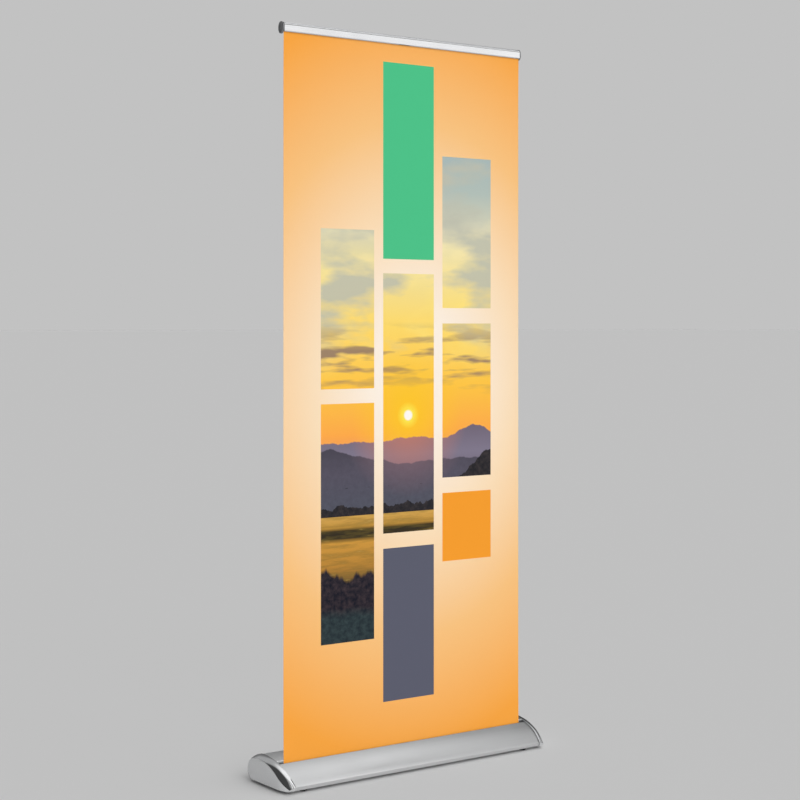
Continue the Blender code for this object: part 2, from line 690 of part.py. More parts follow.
def twist_lock(name, level, pivot, finish):
    """Grip collar on the top of one tube, with a stepped bore for the two tubes."""
    top = TUBE_TOP[level]
    wide = TUBE_OUTER[level] + RUN
    narrow = TUBE_OUTER[level + 1] + RUN
    outer = wide + LOCK_WALL
    low = top - LOCK_GRIP
    high = low + LOCK_HEIGHT
    step = top + RUN
    neck = outer - LOCK_NARROWED
    profile = [(wide, low), (outer - EDGE, low), (outer, low + EDGE), (outer, high - LOCK_TAPER),
               (neck, high - EDGE), (neck - EDGE, high), (narrow, high), (narrow, step), (wide, step)]
    smooth(finished(name, tube(name, profile, 20, (0, POLE_Y, 0)), finish, pivot, (0, POLE_Y, top)))


def pole_tip(parent, finish):
    """Plastic hook on the upper tube: a plug, an arm to the front and a blade up into the rail."""
    stem = TUBE_OUTER[2] - TUBE_WALL - GAP
    top = TUBE_TOP[2]
    collar = TUBE_OUTER[2] + EDGE
    arm_low = top + GAP
    arm_high = RAIL_Z - TIP_UNDER_RAIL
    profile = [(stem, top - TIP_STEM), (stem, arm_low), (collar, arm_low), (collar, arm_high)]
    obj = finished("pole_tip", rod("pole_tip", profile, 20, (0, POLE_Y, 0)), finish, parent)
    blade_y = FILM_Y + (GROOVE_FRONT + GROOVE_BACK) / 2
    half_wide, half_deep = TIP_BLADE
    front = blade_y - half_deep
    back = blade_y + half_deep
    arm = [(-half_wide, front), (half_wide, front), (collar, POLE_Y), (-collar, POLE_Y)]
    blade = [(-half_wide, front), (half_wide, front), (half_wide, back), (-half_wide, back)]
    thick = (arm_high - arm_low) * TIP_ARM_SHARE
    spans = (("tip_arm", arm, arm_high - thick, arm_high),
             ("tip_blade", blade, arm_high - thick / 2, RAIL_Z + TIP_INTO_RAIL))
    for label, outline, low, high in spans:
        mesh = loft_mesh(label, [[(x, y, z) for x, y in outline] for z in (low, high)])
        boolean(obj, cutter(label, mesh), "UNION")
    smooth(obj)


# ---- rail ------------------------------------------------------------------
def rail_rear(parent, finish):
    """Rear extrusion: knuckle socket, top, back wall and the wall behind the film."""
    middle = KNUCKLE_BEAD + GAP + KNUCKLE_WALL / 2
    socket = strip(arc(KNUCKLE, middle, *KNUCKLE_OPEN, 12), KNUCKLE_WALL)
    obj = finished("rail_rear", rail_prism("rail_rear", socket, -RAIL_HALF, RAIL_HALF), finish, parent)
    half = KNUCKLE_WALL / 2
    top = RAIL_HEIGHT - half
    back = RAIL_BACK - half
    shell = strip([(KNUCKLE[0], top), (back, top), (back, 0.0)], KNUCKLE_WALL)
    boolean(obj, cutter("rail_back_guide", rail_prism("rail_back", shell, -RAIL_HALF, RAIL_HALF)), "UNION")
    front = GROOVE_FRONT - RAIL_WALL / 2
    wall = strip([(front, 0.0), (front, top)], RAIL_WALL)
    boolean(obj, cutter("rail_wall_guide", rail_prism("rail_wall", wall, -RAIL_HALF, RAIL_HALF)), "UNION")
    smooth(obj)


def rail_jaw(pivot, finish):
    """Front jaw: a bead in the knuckle, a flat face and a lip that presses on the film."""
    half = RAIL_WALL / 2
    face = -RAIL_FACE + half
    lip = -FILM_THICK / 2 - GAP - half
    neck = (KNUCKLE[0] + JAW_NECK[0], KNUCKLE[1] + JAW_NECK[1])
    path = [KNUCKLE, neck, (face, neck[1] - JAW_SHOULDER), (face, half), (lip, half), (lip, GRIP_HEIGHT)]
    origin = (0, FILM_Y + KNUCKLE[0], RAIL_Z + KNUCKLE[1])
    reach = RAIL_HALF - GAP
    plate = rail_prism("rail_jaw", strip(path, RAIL_WALL), -reach, reach)
    obj = finished("rail_jaw", plate, finish, pivot, origin)
    bead = arc(KNUCKLE, KNUCKLE_BEAD, 0, 324, 9)
    bead_mesh = rail_prism("bead", bead, -reach, reach)
    boolean(obj, cutter("jaw_bead_guide", bead_mesh), "UNION")
    smooth(obj)


def grip_strip(parent, finish):
    """Rubber strip behind the film."""
    back = GRIP_FACE + GRIP_THICK
    outline = [(GRIP_FACE, 0.0), (GRIP_FACE, GRIP_HEIGHT), (back, GRIP_HEIGHT), (back, 0.0)]
    reach = RAIL_HALF - GAP
    finished("grip_strip", rail_prism("grip_strip", outline, -reach, reach), finish, parent)


def rail_cap(name, side, parent, finish):
    """Lens-shaped end plate, a little taller than the rail, with a softened rim."""
    half_deep, half_high = RAILCAP_HALF
    centre = (RAIL_BACK + RAILCAP_BACK - half_deep, RAIL_HEIGHT / 2 - RAILCAP_DROP)
    rings = []
    inner = RAIL_HALF + GAP
    for offset, share in ((0.0, 1.0), (RAILCAP_THICK * 0.7, 1.0), (RAILCAP_THICK, RAILCAP_EASE)):
        ring = []
        for i in range(RAILCAP_SIDES):
            angle = 2 * math.pi * i / RAILCAP_SIDES
            c, s = math.cos(angle), math.sin(angle)
            reach = centre[0] + half_deep * share * math.copysign(abs(c) ** RAILCAP_ROUND[0], c)
            height = centre[1] + half_high * share * math.copysign(abs(s) ** RAILCAP_ROUND[1], s)
            ring.append((side * (inner + offset), FILM_Y + reach, RAIL_Z + height))
        rings.append(ring)
    smooth(finished(name, loft_mesh(name, rings), finish, parent))


# ---- film and feet ---------------------------------------------------------
def banner_film(finish):
    """Printed film from the roller up into the rail."""
    half = FILM_WIDTH / 2
    y0 = FILM_Y - FILM_THICK / 2
    y1 = FILM_Y + FILM_THICK / 2
    ring = [(-half, y0), (half, y0), (half, y1), (-half, y1)]
    span = (ROLLER_Z, RAIL_Z + FILM_IN_RAIL)
    mesh = loft_mesh("banner_film", [[(x, y, z) for x, y in ring] for z in span])
    finished("banner_film", mesh, finish)


def levelling_foot(name, side, reach, parent, stud_finish, pad_finish):
    """Threaded stud with a broad rubber pad."""
    spot = (side * FOOT_X, FILM_Y + reach, 0)
    neck = FOOT_HEIGHT - PAD_CLEAR
    pad = [(FOOT_RADIUS - EDGE, 0), (FOOT_RADIUS, EDGE), (FOOT_RADIUS, neck - EDGE),
           (FOOT_RADIUS - PAD_SHOULDER, neck)]
    smooth(finished(f"foot_pad_{name}", rod("pad", pad, 20, spot), pad_finish, parent))
    top = FOOT_HEIGHT + STUD_LENGTH
    flange = (neck + GAP, FOOT_HEIGHT - GAP)
    stud = [(STUD_FLANGE, flange[0]), (STUD_FLANGE, flange[1]), (STUD_RADIUS, flange[1]),
            (STUD_RADIUS, top - EDGE), (STUD_RADIUS - EDGE, top)]
    smooth(finished(f"foot_stud_{name}", rod("stud", stud, 12, spot), stud_finish, parent))


# ---- assembly --------------------------------------------------------------
def empty(name, place):
    """A pivot on a joint's axis."""
    pivot = bpy.data.objects.new(name, None)
    pivot.location = place
    bpy.context.collection.objects.link(pivot)
    bpy.context.view_layer.update()
    return pivot


def build():
    aluminium = material("satin_aluminium", (0.62, 0.63, 0.64), 0.35, 1.0)
    chrome = material("chrome", (0.80, 0.81, 0.82), 0.08, 1.0)
    grey = material("satin_grey", (0.36, 0.37, 0.38), 0.45, 0.3)
    steel = material("zinc_steel", (0.50, 0.50, 0.50), 0.40, 1.0)
    black = material("black_plastic", (0.03, 0.03, 0.03), 0.50, 0.0)
    dark = material("dark_grey_plastic", (0.10, 0.10, 0.11), 0.50, 0.0)
    rubber = material("rubber", (0.02, 0.02, 0.02), 0.80, 0.0)
    film = material("printed_film", (0.95, 0.60, 0.28), 0.45, 0.0)

    front_housing(aluminium)
    rear_housing(aluminium)
    base_plate(steel)
    for label, side in (("left", -1), ("right", 1)):
        end_cap(f"end_cap_{label}", side, chrome)
        side_panel(f"side_panel_{label}", side, grey)
        cap_screw(f"cap_screw_front_{label}", side, PORT_FRONT, steel)
        cap_screw(f"cap_screw_back_{label}", side, PORT_BACK, steel)

    roller = empty("roller_pivot", (0, ROLLER_Y, ROLLER_Z))
    roller_parts(roller, steel, black, film)
    spring_shaft(steel)
    torsion_spring(steel)

    pole_socket(black)
    foot_plug(black)
    pole_tube("pole_lower_tube", 0, None, aluminium)
    middle = empty("middle_slide", (0, POLE_Y, TUBE_TOP[1]))
    upper = empty("upper_slide", (0, POLE_Y, TUBE_TOP[2]))
    pole_tube("pole_middle_tube", 1, middle, aluminium)
    pole_tube("pole_upper_tube", 2, upper, aluminium)
    twist_lock("lower_twist_lock", 0, None, black)
    twist_lock("upper_twist_lock", 1, middle, black)
    pole_tip(upper, black)

    rail = empty("rail_slide", (0, FILM_Y, RAIL_Z))
    rail_rear(rail, aluminium)
    grip_strip(rail, rubber)
    for label, side in (("left", -1), ("right", 1)):
        rail_cap(f"rail_cap_{label}", side, rail, dark)
    jaw = empty("jaw_pivot", (0, FILM_Y + KNUCKLE[0], RAIL_Z + KNUCKLE[1]))
    rail_jaw(jaw, aluminium)
    banner_film(film)

    for row, reach in (("front", FOOT_FRONT), ("back", FOOT_BACK)):
        for label, side in (("left", -1), ("right", 1)):
            name = f"{row}_{label}"
            slide = empty(f"foot_slide_{name}", (side * FOOT_X, FILM_Y + reach, 0))
            levelling_foot(name, side, reach, slide, steel, rubber)


for old in list(bpy.data.objects):
    bpy.data.objects.remove(old)
build()
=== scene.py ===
import math

import bpy
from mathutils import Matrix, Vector


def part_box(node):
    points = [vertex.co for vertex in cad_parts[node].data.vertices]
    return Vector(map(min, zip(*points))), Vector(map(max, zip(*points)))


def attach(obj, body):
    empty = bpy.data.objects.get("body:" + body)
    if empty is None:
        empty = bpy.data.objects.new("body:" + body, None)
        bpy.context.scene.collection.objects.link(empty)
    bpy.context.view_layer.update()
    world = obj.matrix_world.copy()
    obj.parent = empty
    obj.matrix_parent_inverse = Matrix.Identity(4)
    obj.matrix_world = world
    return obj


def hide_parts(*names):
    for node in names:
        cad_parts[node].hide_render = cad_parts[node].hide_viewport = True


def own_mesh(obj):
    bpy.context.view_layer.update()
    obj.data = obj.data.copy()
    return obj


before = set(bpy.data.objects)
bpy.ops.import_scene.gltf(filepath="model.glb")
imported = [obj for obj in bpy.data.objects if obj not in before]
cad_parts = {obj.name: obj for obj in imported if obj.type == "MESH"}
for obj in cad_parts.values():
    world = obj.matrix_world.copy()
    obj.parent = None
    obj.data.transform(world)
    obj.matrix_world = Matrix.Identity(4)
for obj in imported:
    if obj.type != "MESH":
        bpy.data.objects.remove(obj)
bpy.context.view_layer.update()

print("frame loaded")

# places that everything else hangs on, read from the frame
filmLow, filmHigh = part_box("banner_film")
filmY = (filmLow.y + filmHigh.y) / 2
filmHalf = filmHigh.x
frontLow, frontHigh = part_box("front_housing")
shellHalf = frontHigh.x
underside = frontLow.z
railLow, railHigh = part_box("rail_rear")
railZ = railLow.z
railHalf = railHigh.x
plyGap = 0.0003  # clearance between touching pieces


# small tools used by every piece
def clearSelection():
    if bpy.context.mode != "OBJECT":
        bpy.ops.object.mode_set(mode="OBJECT")
    bpy.ops.object.select_all(action="DESELECT")


def pickOnly(obj):
    clearSelection()
    obj.select_set(True)
    bpy.context.view_layer.objects.active = obj


def editAll(obj):
    pickOnly(obj)
    bpy.ops.object.mode_set(mode="EDIT")
    bpy.ops.mesh.select_all(action="SELECT")


def leaveEdit():
    bpy.ops.object.mode_set(mode="OBJECT")


def joinAll(pieces, name):
    clearSelection()
    for piece in pieces:
        piece.select_set(True)
    bpy.context.view_layer.objects.active = pieces[0]
    bpy.ops.object.join()
    pieces[0].name = name
    pieces[0].data.name = name
    return pieces[0]


def selectWhere(obj, rule, kind="FACE"):
    # edit mode with only the faces or edges that the rule picks
    editAll(obj)
    bpy.ops.mesh.select_mode(type=kind)
    bpy.ops.mesh.select_all(action="DESELECT")
    leaveEdit()
    mesh = obj.data
    if kind == "FACE":
        for face in mesh.polygons:
            face.select = rule(face.center, face.normal)
    else:
        for edge in mesh.edges:
            edge.select = all(rule(mesh.vertices[i].co) for i in edge.vertices)
    bpy.ops.object.mode_set(mode="EDIT")


def faceTowards(obj, way):
    # an open skin whose faces, all together, should look along way
    total = sum((face.normal * face.area for face in obj.data.polygons), Vector())
    if total.dot(Vector(way)) < 0:
        editAll(obj)
        bpy.ops.mesh.flip_normals()
        leaveEdit()


def recalculate(obj):
    editAll(obj)
    bpy.ops.mesh.normals_make_consistent(inside=False)
    leaveEdit()


def settle(obj):
    # the object at the origin, its place in its mesh
    pickOnly(obj)
    bpy.ops.object.transform_apply(location=True, rotation=True, scale=True)


def addModifier(obj, kind, **settings):
    step = obj.modifiers.new(kind.lower(), kind)
    for key, value in settings.items():
        setattr(step, key, value)
    pickOnly(obj)
    bpy.ops.object.modifier_apply(modifier=step.name)


def softEdges(obj, width, segments=2, angle=35):
    addModifier(obj, "BEVEL", width=width, segments=segments, limit_method="ANGLE",
                angle_limit=math.radians(angle), miter_outer="MITER_ARC", use_clamp_overlap=True)


def shadeByAngle(obj, angle=32):
    pickOnly(obj)
    bpy.ops.object.shade_smooth_by_angle(angle=math.radians(angle))


def drawWire(name, knots, x=0.0, origin=None, closed=False, steps=12):
    # a curve in the plane at x through knots (place, handle before, handle after), made a wire mesh
    y0, z0 = origin if origin else (filmY, underside)
    clearSelection()
    bpy.ops.curve.primitive_bezier_curve_add(location=(0, 0, 0))
    obj = bpy.context.object
    obj.name = name
    obj.data.resolution_u = steps
    obj.data.dimensions = "3D"
    spline = obj.data.splines[0]
    spline.bezier_points.add(len(knots) - 2)
    for point, (place, before, after) in zip(spline.bezier_points, knots):
        point.handle_left_type = "FREE"
        point.handle_right_type = "FREE"
        point.co = (x, y0 + place[0], z0 + place[1])
        point.handle_left = (x, y0 + place[0] + before[0], z0 + place[1] + before[1])
        point.handle_right = (x, y0 + place[0] + after[0], z0 + place[1] + after[1])
    spline.use_cyclic_u = closed
    bpy.ops.object.convert(target="MESH")
    return bpy.context.object


def corner(reach, height):
    return ((reach, height), (0, 0), (0, 0))


def arcKnots(centre, radius, start, stop, count):
    # knots on an arc, angles in degrees
    step = math.radians(stop - start) / count
    pull = radius * 4 / 3 * math.tan(step / 4)
    knots = []
    for i in range(count + 1):
        angle = math.radians(start) + step * i
        c, s = math.cos(angle), math.sin(angle)
        after = (-s * pull, c * pull)
        knots.append(((centre[0] + radius * c, centre[1] + radius * s), (-after[0], -after[1]), after))
    knots[0] = (knots[0][0], (0, 0), knots[0][2])
    knots[-1] = (knots[-1][0], knots[-1][1], (0, 0))
    return knots


def extrudeWire(obj, length):
    # pulls a wire along X
    editAll(obj)
    bpy.ops.mesh.select_mode(type="EDGE")
    bpy.ops.mesh.extrude_edges_move(TRANSFORM_OT_translate={"value": (length, 0, 0)})
    bpy.ops.mesh.select_mode(type="VERT")
    leaveEdit()


def bridgeLoops(near, far, cuts=0):
    obj = joinAll([near, far], near.name)
    editAll(obj)
    bpy.ops.mesh.bridge_edge_loops(number_cuts=cuts, interpolation="LINEAR")
    leaveEdit()
    return obj


def makeRod(radius, half, y, z, sides):
    # a rod along X
    clearSelection()
    bpy.ops.mesh.primitive_cylinder_add(vertices=sides, radius=radius, depth=2 * half,
                                        rotation=(0, math.pi / 2, 0), location=(0, y, z))
    rod = bpy.context.object
    settle(rod)
    return rod


def turnProfile(name, profile, centre, steps=48):
    # a closed profile of (radius, height) spun about a vertical axis
    knots = [corner(radius, height) for radius, height in profile]
    obj = drawWire(name, knots, 0.0, (0, 0), closed=True, steps=1)
    editAll(obj)
    bpy.ops.mesh.spin(steps=steps, angle=math.tau, center=(0, 0, 0), axis=(0, 0, 1))
    bpy.ops.mesh.select_all(action="SELECT")
    bpy.ops.mesh.remove_doubles(threshold=0.00001)  # the spin's first and last profile
    bpy.ops.mesh.normals_make_consistent(inside=False)
    leaveEdit()
    obj.location = centre
    settle(obj)
    return obj


def handOver(obj, finish, body, node):
    # a finished piece gets its finish and body, and stands for its node
    obj.data.materials.append(finish)
    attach(obj, body)
    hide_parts(node)


# materials
class Wiring:
    # a node tree and short ways to wire it up
    def __init__(self, tree):
        self.tree = tree

    def node(self, kind, **settings):
        made = self.tree.nodes.new(kind)
        for key, value in settings.items():
            setattr(made, key, value)
        return made

    def wire(self, source, target):
        if hasattr(source, "is_output"):
            self.tree.links.new(source, target)
        else:
            target.default_value = source

    def stretched(self, vector, scale):
        made = self.node("ShaderNodeMapping")
        made.inputs["Scale"].default_value = scale
        self.wire(vector, made.inputs["Vector"])
        return made.outputs["Vector"]

    def place(self, stretch=(1, 1, 1)):
        return self.stretched(self.node("ShaderNodeTexCoord").outputs["Object"], stretch)

    def noise(self, vector, scale, detail=3.0, rough=0.5):
        made = self.node("ShaderNodeTexNoise")
        made.inputs["Scale"].default_value = scale
        made.inputs["Detail"].default_value = detail
        made.inputs["Roughness"].default_value = rough
        self.wire(vector, made.inputs["Vector"])
        return made.outputs["Fac"]

    def ramp(self, value, stops):
        made = self.node("ShaderNodeValToRGB")
        band = made.color_ramp.elements
        while len(band) < len(stops):
            band.new(0.5)
        for element, (position, colour) in zip(band, stops):
            element.position = position
            element.color = (*colour, 1)
        self.wire(value, made.inputs["Fac"])
        return made.outputs["Color"]

    def levels(self, value, low, high, newLow, newHigh, ease="LINEAR"):
        made = self.node("ShaderNodeMapRange", interpolation_type=ease)
        for key, number in (("From Min", low), ("From Max", high), ("To Min", newLow), ("To Max", newHigh)):
            made.inputs[key].default_value = number
        self.wire(value, made.inputs["Value"])
        return made.outputs["Result"]

    def sums(self, operation, first, second=0.0, third=0.0):
        made = self.node("ShaderNodeMath", operation=operation)
        for socket, value in zip(made.inputs, (first, second, third)):
            self.wire(value, socket)
        return made.outputs["Value"]

    def mix(self, share, first, second, blend="MIX"):
        made = self.node("ShaderNodeMix", data_type="RGBA", blend_type=blend)
        self.wire(share, made.inputs["Factor"])
        for socket, value in (("A", first), ("B", second)):
            target = [s for s in made.inputs if s.name == socket and s.type == "RGBA"][0]
            self.wire((*value, 1) if isinstance(value, tuple) else value, target)
        return [s for s in made.outputs if s.type == "RGBA"][0]


class Paint(Wiring):
    # a Principled material
    def __init__(self, name, colour, roughness, metallic=0.0, **extra):
        self.material = bpy.data.materials.new(name)
        self.material.use_nodes = True
        super().__init__(self.material.node_tree)
        self.shader = self.tree.nodes["Principled BSDF"]
        self.shader.inputs["Base Color"].default_value = (*colour, 1)
        self.shader.inputs["Roughness"].default_value = roughness
        self.shader.inputs["Metallic"].default_value = metallic
        for socket, value in extra.items():
            self.shader.inputs[socket.replace("_", " ")].default_value = value

    def bump(self, height, strength, distance):
        made = self.node("ShaderNodeBump")
        made.inputs["Strength"].default_value = strength
        made.inputs["Distance"].default_value = distance
        self.wire(height, made.inputs["Height"])
        self.wire(made.outputs["Normal"], self.shader.inputs["Normal"])

    def drive(self, socket, value):
        self.wire(value, self.shader.inputs[socket])


def linear(red, green, blue):
    # a colour picked on screen, 0 to 255, as the shader wants it
    out = []
    for value in (red, green, blue):
        share = value / 255
        out.append(share / 12.92 if share <= 0.04045 else ((share + 0.055) / 1.055) ** 2.4)
    return tuple(out)


def drawnMetal(name, bright, dark, roughness, along, lineScale, depth):
    # extruded or drawn aluminium: fine lines along one axis, faint clouding, smudges
    paint = Paint(name, bright, roughness, 1.0)
    stretch = [lineScale] * 3
    stretch["XYZ".index(along)] = lineScale / 260
    lines = paint.noise(paint.place(tuple(stretch)), 1.0, 4.0, 0.6)
    clouds = paint.noise(paint.place(), 9.0, 2.0)
    tone = paint.ramp(lines, [(0.30, dark), (0.72, bright)])
    paint.drive("Base Color", paint.mix(paint.levels(clouds, 0.35, 0.75, 0.0, 0.16), tone, dark))
    rough = paint.levels(lines, 0.2, 0.8, roughness - 0.07, roughness + 0.09)
    smudge = paint.levels(clouds, 0.3, 0.7, -0.03, 0.04)
    paint.drive("Roughness", paint.sums("ADD", rough, smudge))
    paint.bump(lines, 0.35, depth)
    return paint.material


def makeChrome():
    paint = Paint("polishedChrome", (0.86, 0.87, 0.88), 0.07, 1.0)
    haze = paint.noise(paint.place(), 22.0, 4.0, 0.6)
    rub = paint.noise(paint.place((90, 500, 500)), 1.0, 2.0)
    paint.drive("Base Color", paint.ramp(haze, [(0.35, (0.80, 0.81, 0.825)), (0.7, (0.88, 0.885, 0.89))]))
    rough = paint.levels(haze, 0.3, 0.75, 0.045, 0.11)
    paint.drive("Roughness", paint.sums("ADD", rough, paint.levels(rub, 0.55, 0.8, 0.0, 0.03)))
    paint.bump(haze, 0.05, 0.0002)
    return paint.material


finishes = {
    # colour, roughness and metal; noise in the grain and in the colour; its tones; roughness; bump
    "blackPlastic": {
        "plain": ((0.022, 0.022, 0.024), 0.42), "grain": (1300.0, 3.0, 0.65), "drift": (14.0, 3.0),
        "tones": [(0.3, (0.022, 0.022, 0.024)), (0.75, (0.036, 0.036, 0.038))],
        "rough": (0.25, 0.75, 0.34, 0.54), "bump": (0.4, 0.00012),
    },
    "blackRubber": {
        "plain": ((0.022, 0.022, 0.023), 0.82), "grain": (900.0, 4.0, 0.7), "drift": (60.0, 4.0, 0.6),
        "tones": [(0.45, (0.018, 0.018, 0.019)), (0.8, (0.055, 0.053, 0.05))],
        "rough": (0.3, 0.7, 0.72, 0.92), "bump": (0.5, 0.0002),
    },
    "gunmetalCap": {  # plastic with a dark metallic coat
        "plain": ((0.28, 0.285, 0.295), 0.34, 0.85), "grain": (2400.0, 2.0, 0.7),
        "drift": (2400.0, 2.0, 0.7), "tones": [(0.3, (0.23, 0.235, 0.245)), (0.75, (0.33, 0.335, 0.345))],
        "rough": (0.2, 0.8, 0.28, 0.42), "bump": (0.12, 0.00006),
    },
    "bannerBack": {  # grey block-out side of the film
        "plain": (linear(206, 207, 208), 0.5), "specular": 0.35,
        "grain": (700.0, 3.0, 0.6), "drift": (2.2, 3.0),
        "tones": [(0.3, linear(200, 201, 203)), (0.75, linear(214, 214, 214))],
        "rough": (0.25, 0.75, 0.44, 0.58), "bump": (0.12, 0.0001),
    },
}


def makeFinish(name):
    look = finishes[name]
    paint = Paint(name, *look["plain"], Specular_IOR_Level=look.get("specular", 0.5))
    grain = paint.noise(paint.place(), *look["grain"])
    drift = paint.noise(paint.place(), *look["drift"])
    paint.drive("Base Color", paint.ramp(drift, look["tones"]))
    paint.drive("Roughness", paint.levels(grain, *look["rough"]))
    paint.bump(grain, *look["bump"])
    return paint.material


def makeSatinGrey():
    # painted side panel: silver flake in a satin coat
    paint = Paint("satinGreyPanel", linear(224, 225, 226), 0.42, 0.2)
    flake = paint.noise(paint.place(), 2600.0, 2.0, 0.7)
    drift = paint.noise(paint.place(), 20.0, 3.0)
    tone = paint.ramp(flake, [(0.3, linear(214, 215, 216)), (0.75, linear(236, 237, 238))])
    tone = paint.mix(paint.levels(drift, 0.3, 0.7, 0.0, 0.2), tone, linear(218, 219, 220))
    paint.drive("Base Color", tone)
    paint.drive("Roughness", paint.levels(flake, 0.2, 0.8, 0.36, 0.5))
    paint.bump(flake, 0.15, 0.00008)
    return paint.material


def makeZinc():
    paint = Paint("zincSteel", (0.52, 0.53, 0.54), 0.36, 1.0)
    spangle = paint.node("ShaderNodeTexVoronoi")
    spangle.inputs["Scale"].default_value = 140.0
    paint.wire(paint.place(), spangle.inputs["Vector"])
    fine = paint.noise(paint.place(), 400.0, 3.0)
    tone = paint.ramp(spangle.outputs["Distance"], [(0.0, (0.60, 0.61, 0.62)), (0.6, (0.43, 0.44, 0.46))])
    paint.drive("Base Color", tone)
    paint.drive("Roughness", paint.levels(fine, 0.3, 0.7, 0.28, 0.46))
    paint.bump(fine, 0.15, 0.0001)
    return paint.material


# bright, dark, roughness, direction of the lines, how fine they are, how deep
satinAluminium = drawnMetal("satinAluminium", (0.80, 0.805, 0.81), (0.755, 0.76, 0.765), 0.42, "X",
                            900.0, 0.00002)
brushedRail = drawnMetal("brushedRail", (0.93, 0.935, 0.94), (0.74, 0.75, 0.77), 0.24, "X", 1500.0, 0.0001)
drawnTube = drawnMetal("drawnTube", (0.78, 0.785, 0.79), (0.62, 0.63, 0.64), 0.26, "Z", 1100.0, 0.00006)
chrome = makeChrome()
satinGrey = makeSatinGrey()
zincSteel = makeZinc()
rubber = makeFinish("blackRubber")
filmBack = makeFinish("bannerBack")
blackPlastic = makeFinish("blackPlastic")
gunmetal = makeFinish("gunmetalCap")
print("materials made")


# the print: a generic sunset over fields, seen through windows, with blocks of colour
artwork = {
    # metres across from the left edge and down from the rail, colours as seen on screen
    "cream": (254, 247, 238), "peach": (252, 229, 196), "apricot": (250, 200, 134), "orange": (250, 170, 68),
    "glow": [(0.14, "cream"), (0.37, "peach"), (0.62, "apricot"), (0.90, "orange")],
    "heart": (0.462, 0.982),     # middle of the glow
    "stretch": 1.22,             # how much taller than wide the glow is
    "column": 0.184, "pitch": 0.216, "first": 0.124,
    # windows as (column, top, foot), and blocks with their colour
    "pictures": [(0, 0.546, 1.004), (0, 1.046, 1.730), (1, 0.670, 1.428), (2, 0.318, 0.770),
                 (2, 0.816, 1.276)],
    "blocks": [(1, 0.054, 0.628, (75, 199, 143)), (1, 1.472, 1.918, (91, 95, 114)),
               (2, 1.322, 1.526, (247, 161, 46))],
    "sun": (0.430, 1.086), "sunSize": 0.0145, "ink": (1.0, 0.95, 0.90),
    "streaks": (0.925, 0.115),   # thin cloud: its middle and half its height
    "farRidge": 1.152, "peak": (0.672, 0.10, 0.034),   # the peak's place, half width and rise
    # skylines that slope: across from and to, and how far down they are there
    "nearRidge": (0.16, 0.36, 1.176, 1.222), "grove": (0.60, 0.72, 1.292, 1.198), "groveFoot": 1.29,
    "hedge": 1.342, "hedgeFoot": 1.369, "field": 1.366, "bushes": 1.535, "grass": 1.630,
}


def window(paint, across, down, column, top, foot):
    middle = artwork["first"] + artwork["pitch"] * column + artwork["column"] / 2
    inside = paint.sums("COMPARE", across, middle, artwork["column"] / 2)
    return paint.sums("MULTIPLY", inside, paint.sums("COMPARE", down, (top + foot) / 2, (foot - top) / 2))


def howFar(paint, sideways, away):
    # distance from two offsets
    squares = [paint.sums("POWER", offset, 2.0) for offset in (sideways, away)]
    return paint.sums("SQRT", paint.sums("ADD", *squares))


def ridgeMask(paint, across, down, crest, rise, scale, seed, soft):
    # everything below a rough skyline
    line = paint.node("ShaderNodeCombineXYZ")
    paint.wire(across, line.inputs["X"])
    paint.wire(seed, line.inputs["Y"])
    height = paint.noise(line.outputs["Vector"], scale, 7.0, 0.55)
    bumps = paint.sums("MULTIPLY", paint.sums("SUBTRACT", height, 0.5), rise)
    skyline = paint.sums("SUBTRACT", crest, bumps)
    return paint.levels(paint.sums("SUBTRACT", down, skyline), 0.0, soft, 0.0, 1.0)


def drawSky(paint, across, down, flat):
    tone = paint.ramp(paint.levels(down, 0.30, 1.20, 0.0, 1.0), [
        (0.00, linear(166, 187, 192)), (0.14, linear(178, 196, 193)), (0.27, linear(216, 216, 192)),
        (0.40, linear(242, 230, 162)), (0.58, linear(255, 224, 112)), (0.78, linear(255, 202, 70)),
        (0.93, linear(255, 174, 76)), (1.00, linear(240, 156, 100))])
    # high soft cloud, lit or in shade, then streaks low over the hills
    veil = paint.noise(paint.stretched(flat, (4.0, 8.0, 1.0)), 1.0, 3.5, 0.45)
    high = paint.sums("MULTIPLY", paint.levels(down, 0.44, 0.60, 0.0, 1.0),
                      paint.levels(down, 0.80, 0.98, 1.0, 0.0))
    bright = paint.sums("MULTIPLY", paint.levels(veil, 0.46, 0.60, 0.0, 0.9), high)
    lit = paint.ramp(paint.levels(down, 0.50, 0.76, 0.0, 1.0),
                     [(0.0, linear(242, 240, 206)), (1.0, linear(255, 232, 132))])
    tone = paint.mix(bright, tone, lit)
    gloom = paint.noise(paint.stretched(flat, (3.0, 8.0, 4.0)), 1.0, 4.0, 0.5)
    fade = paint.levels(down, 0.80, 0.96, 1.0, 0.0)
    aside = paint.sums("ABSOLUTE", paint.sums("SUBTRACT", across, artwork["sun"][0]))
    gloom = paint.sums("ADD", gloom, paint.levels(aside, 0.09, 0.26, 0.0, 0.07))
    shade = paint.sums("MULTIPLY", paint.levels(gloom, 0.50, 0.64, 0.0, 0.9), fade)
    tone = paint.mix(shade, tone, linear(190, 195, 182))
    streak = paint.noise(paint.stretched(flat, (4.2, 24.0, 9.0)), 1.0, 3.5, 0.5)
    middle, half = artwork["streaks"]
    low = paint.sums("COMPARE", down, middle, half)
    ease = paint.levels(paint.sums("ABSOLUTE", paint.sums("SUBTRACT", down, middle)), 0.03, half, 1.0, 0.0)
    smoke = paint.sums("MULTIPLY", low, ease)
    smoke = paint.sums("MULTIPLY", smoke, paint.levels(streak, 0.49, 0.60, 0.0, 0.9))
    return paint.mix(smoke, tone, linear(144, 122, 108))


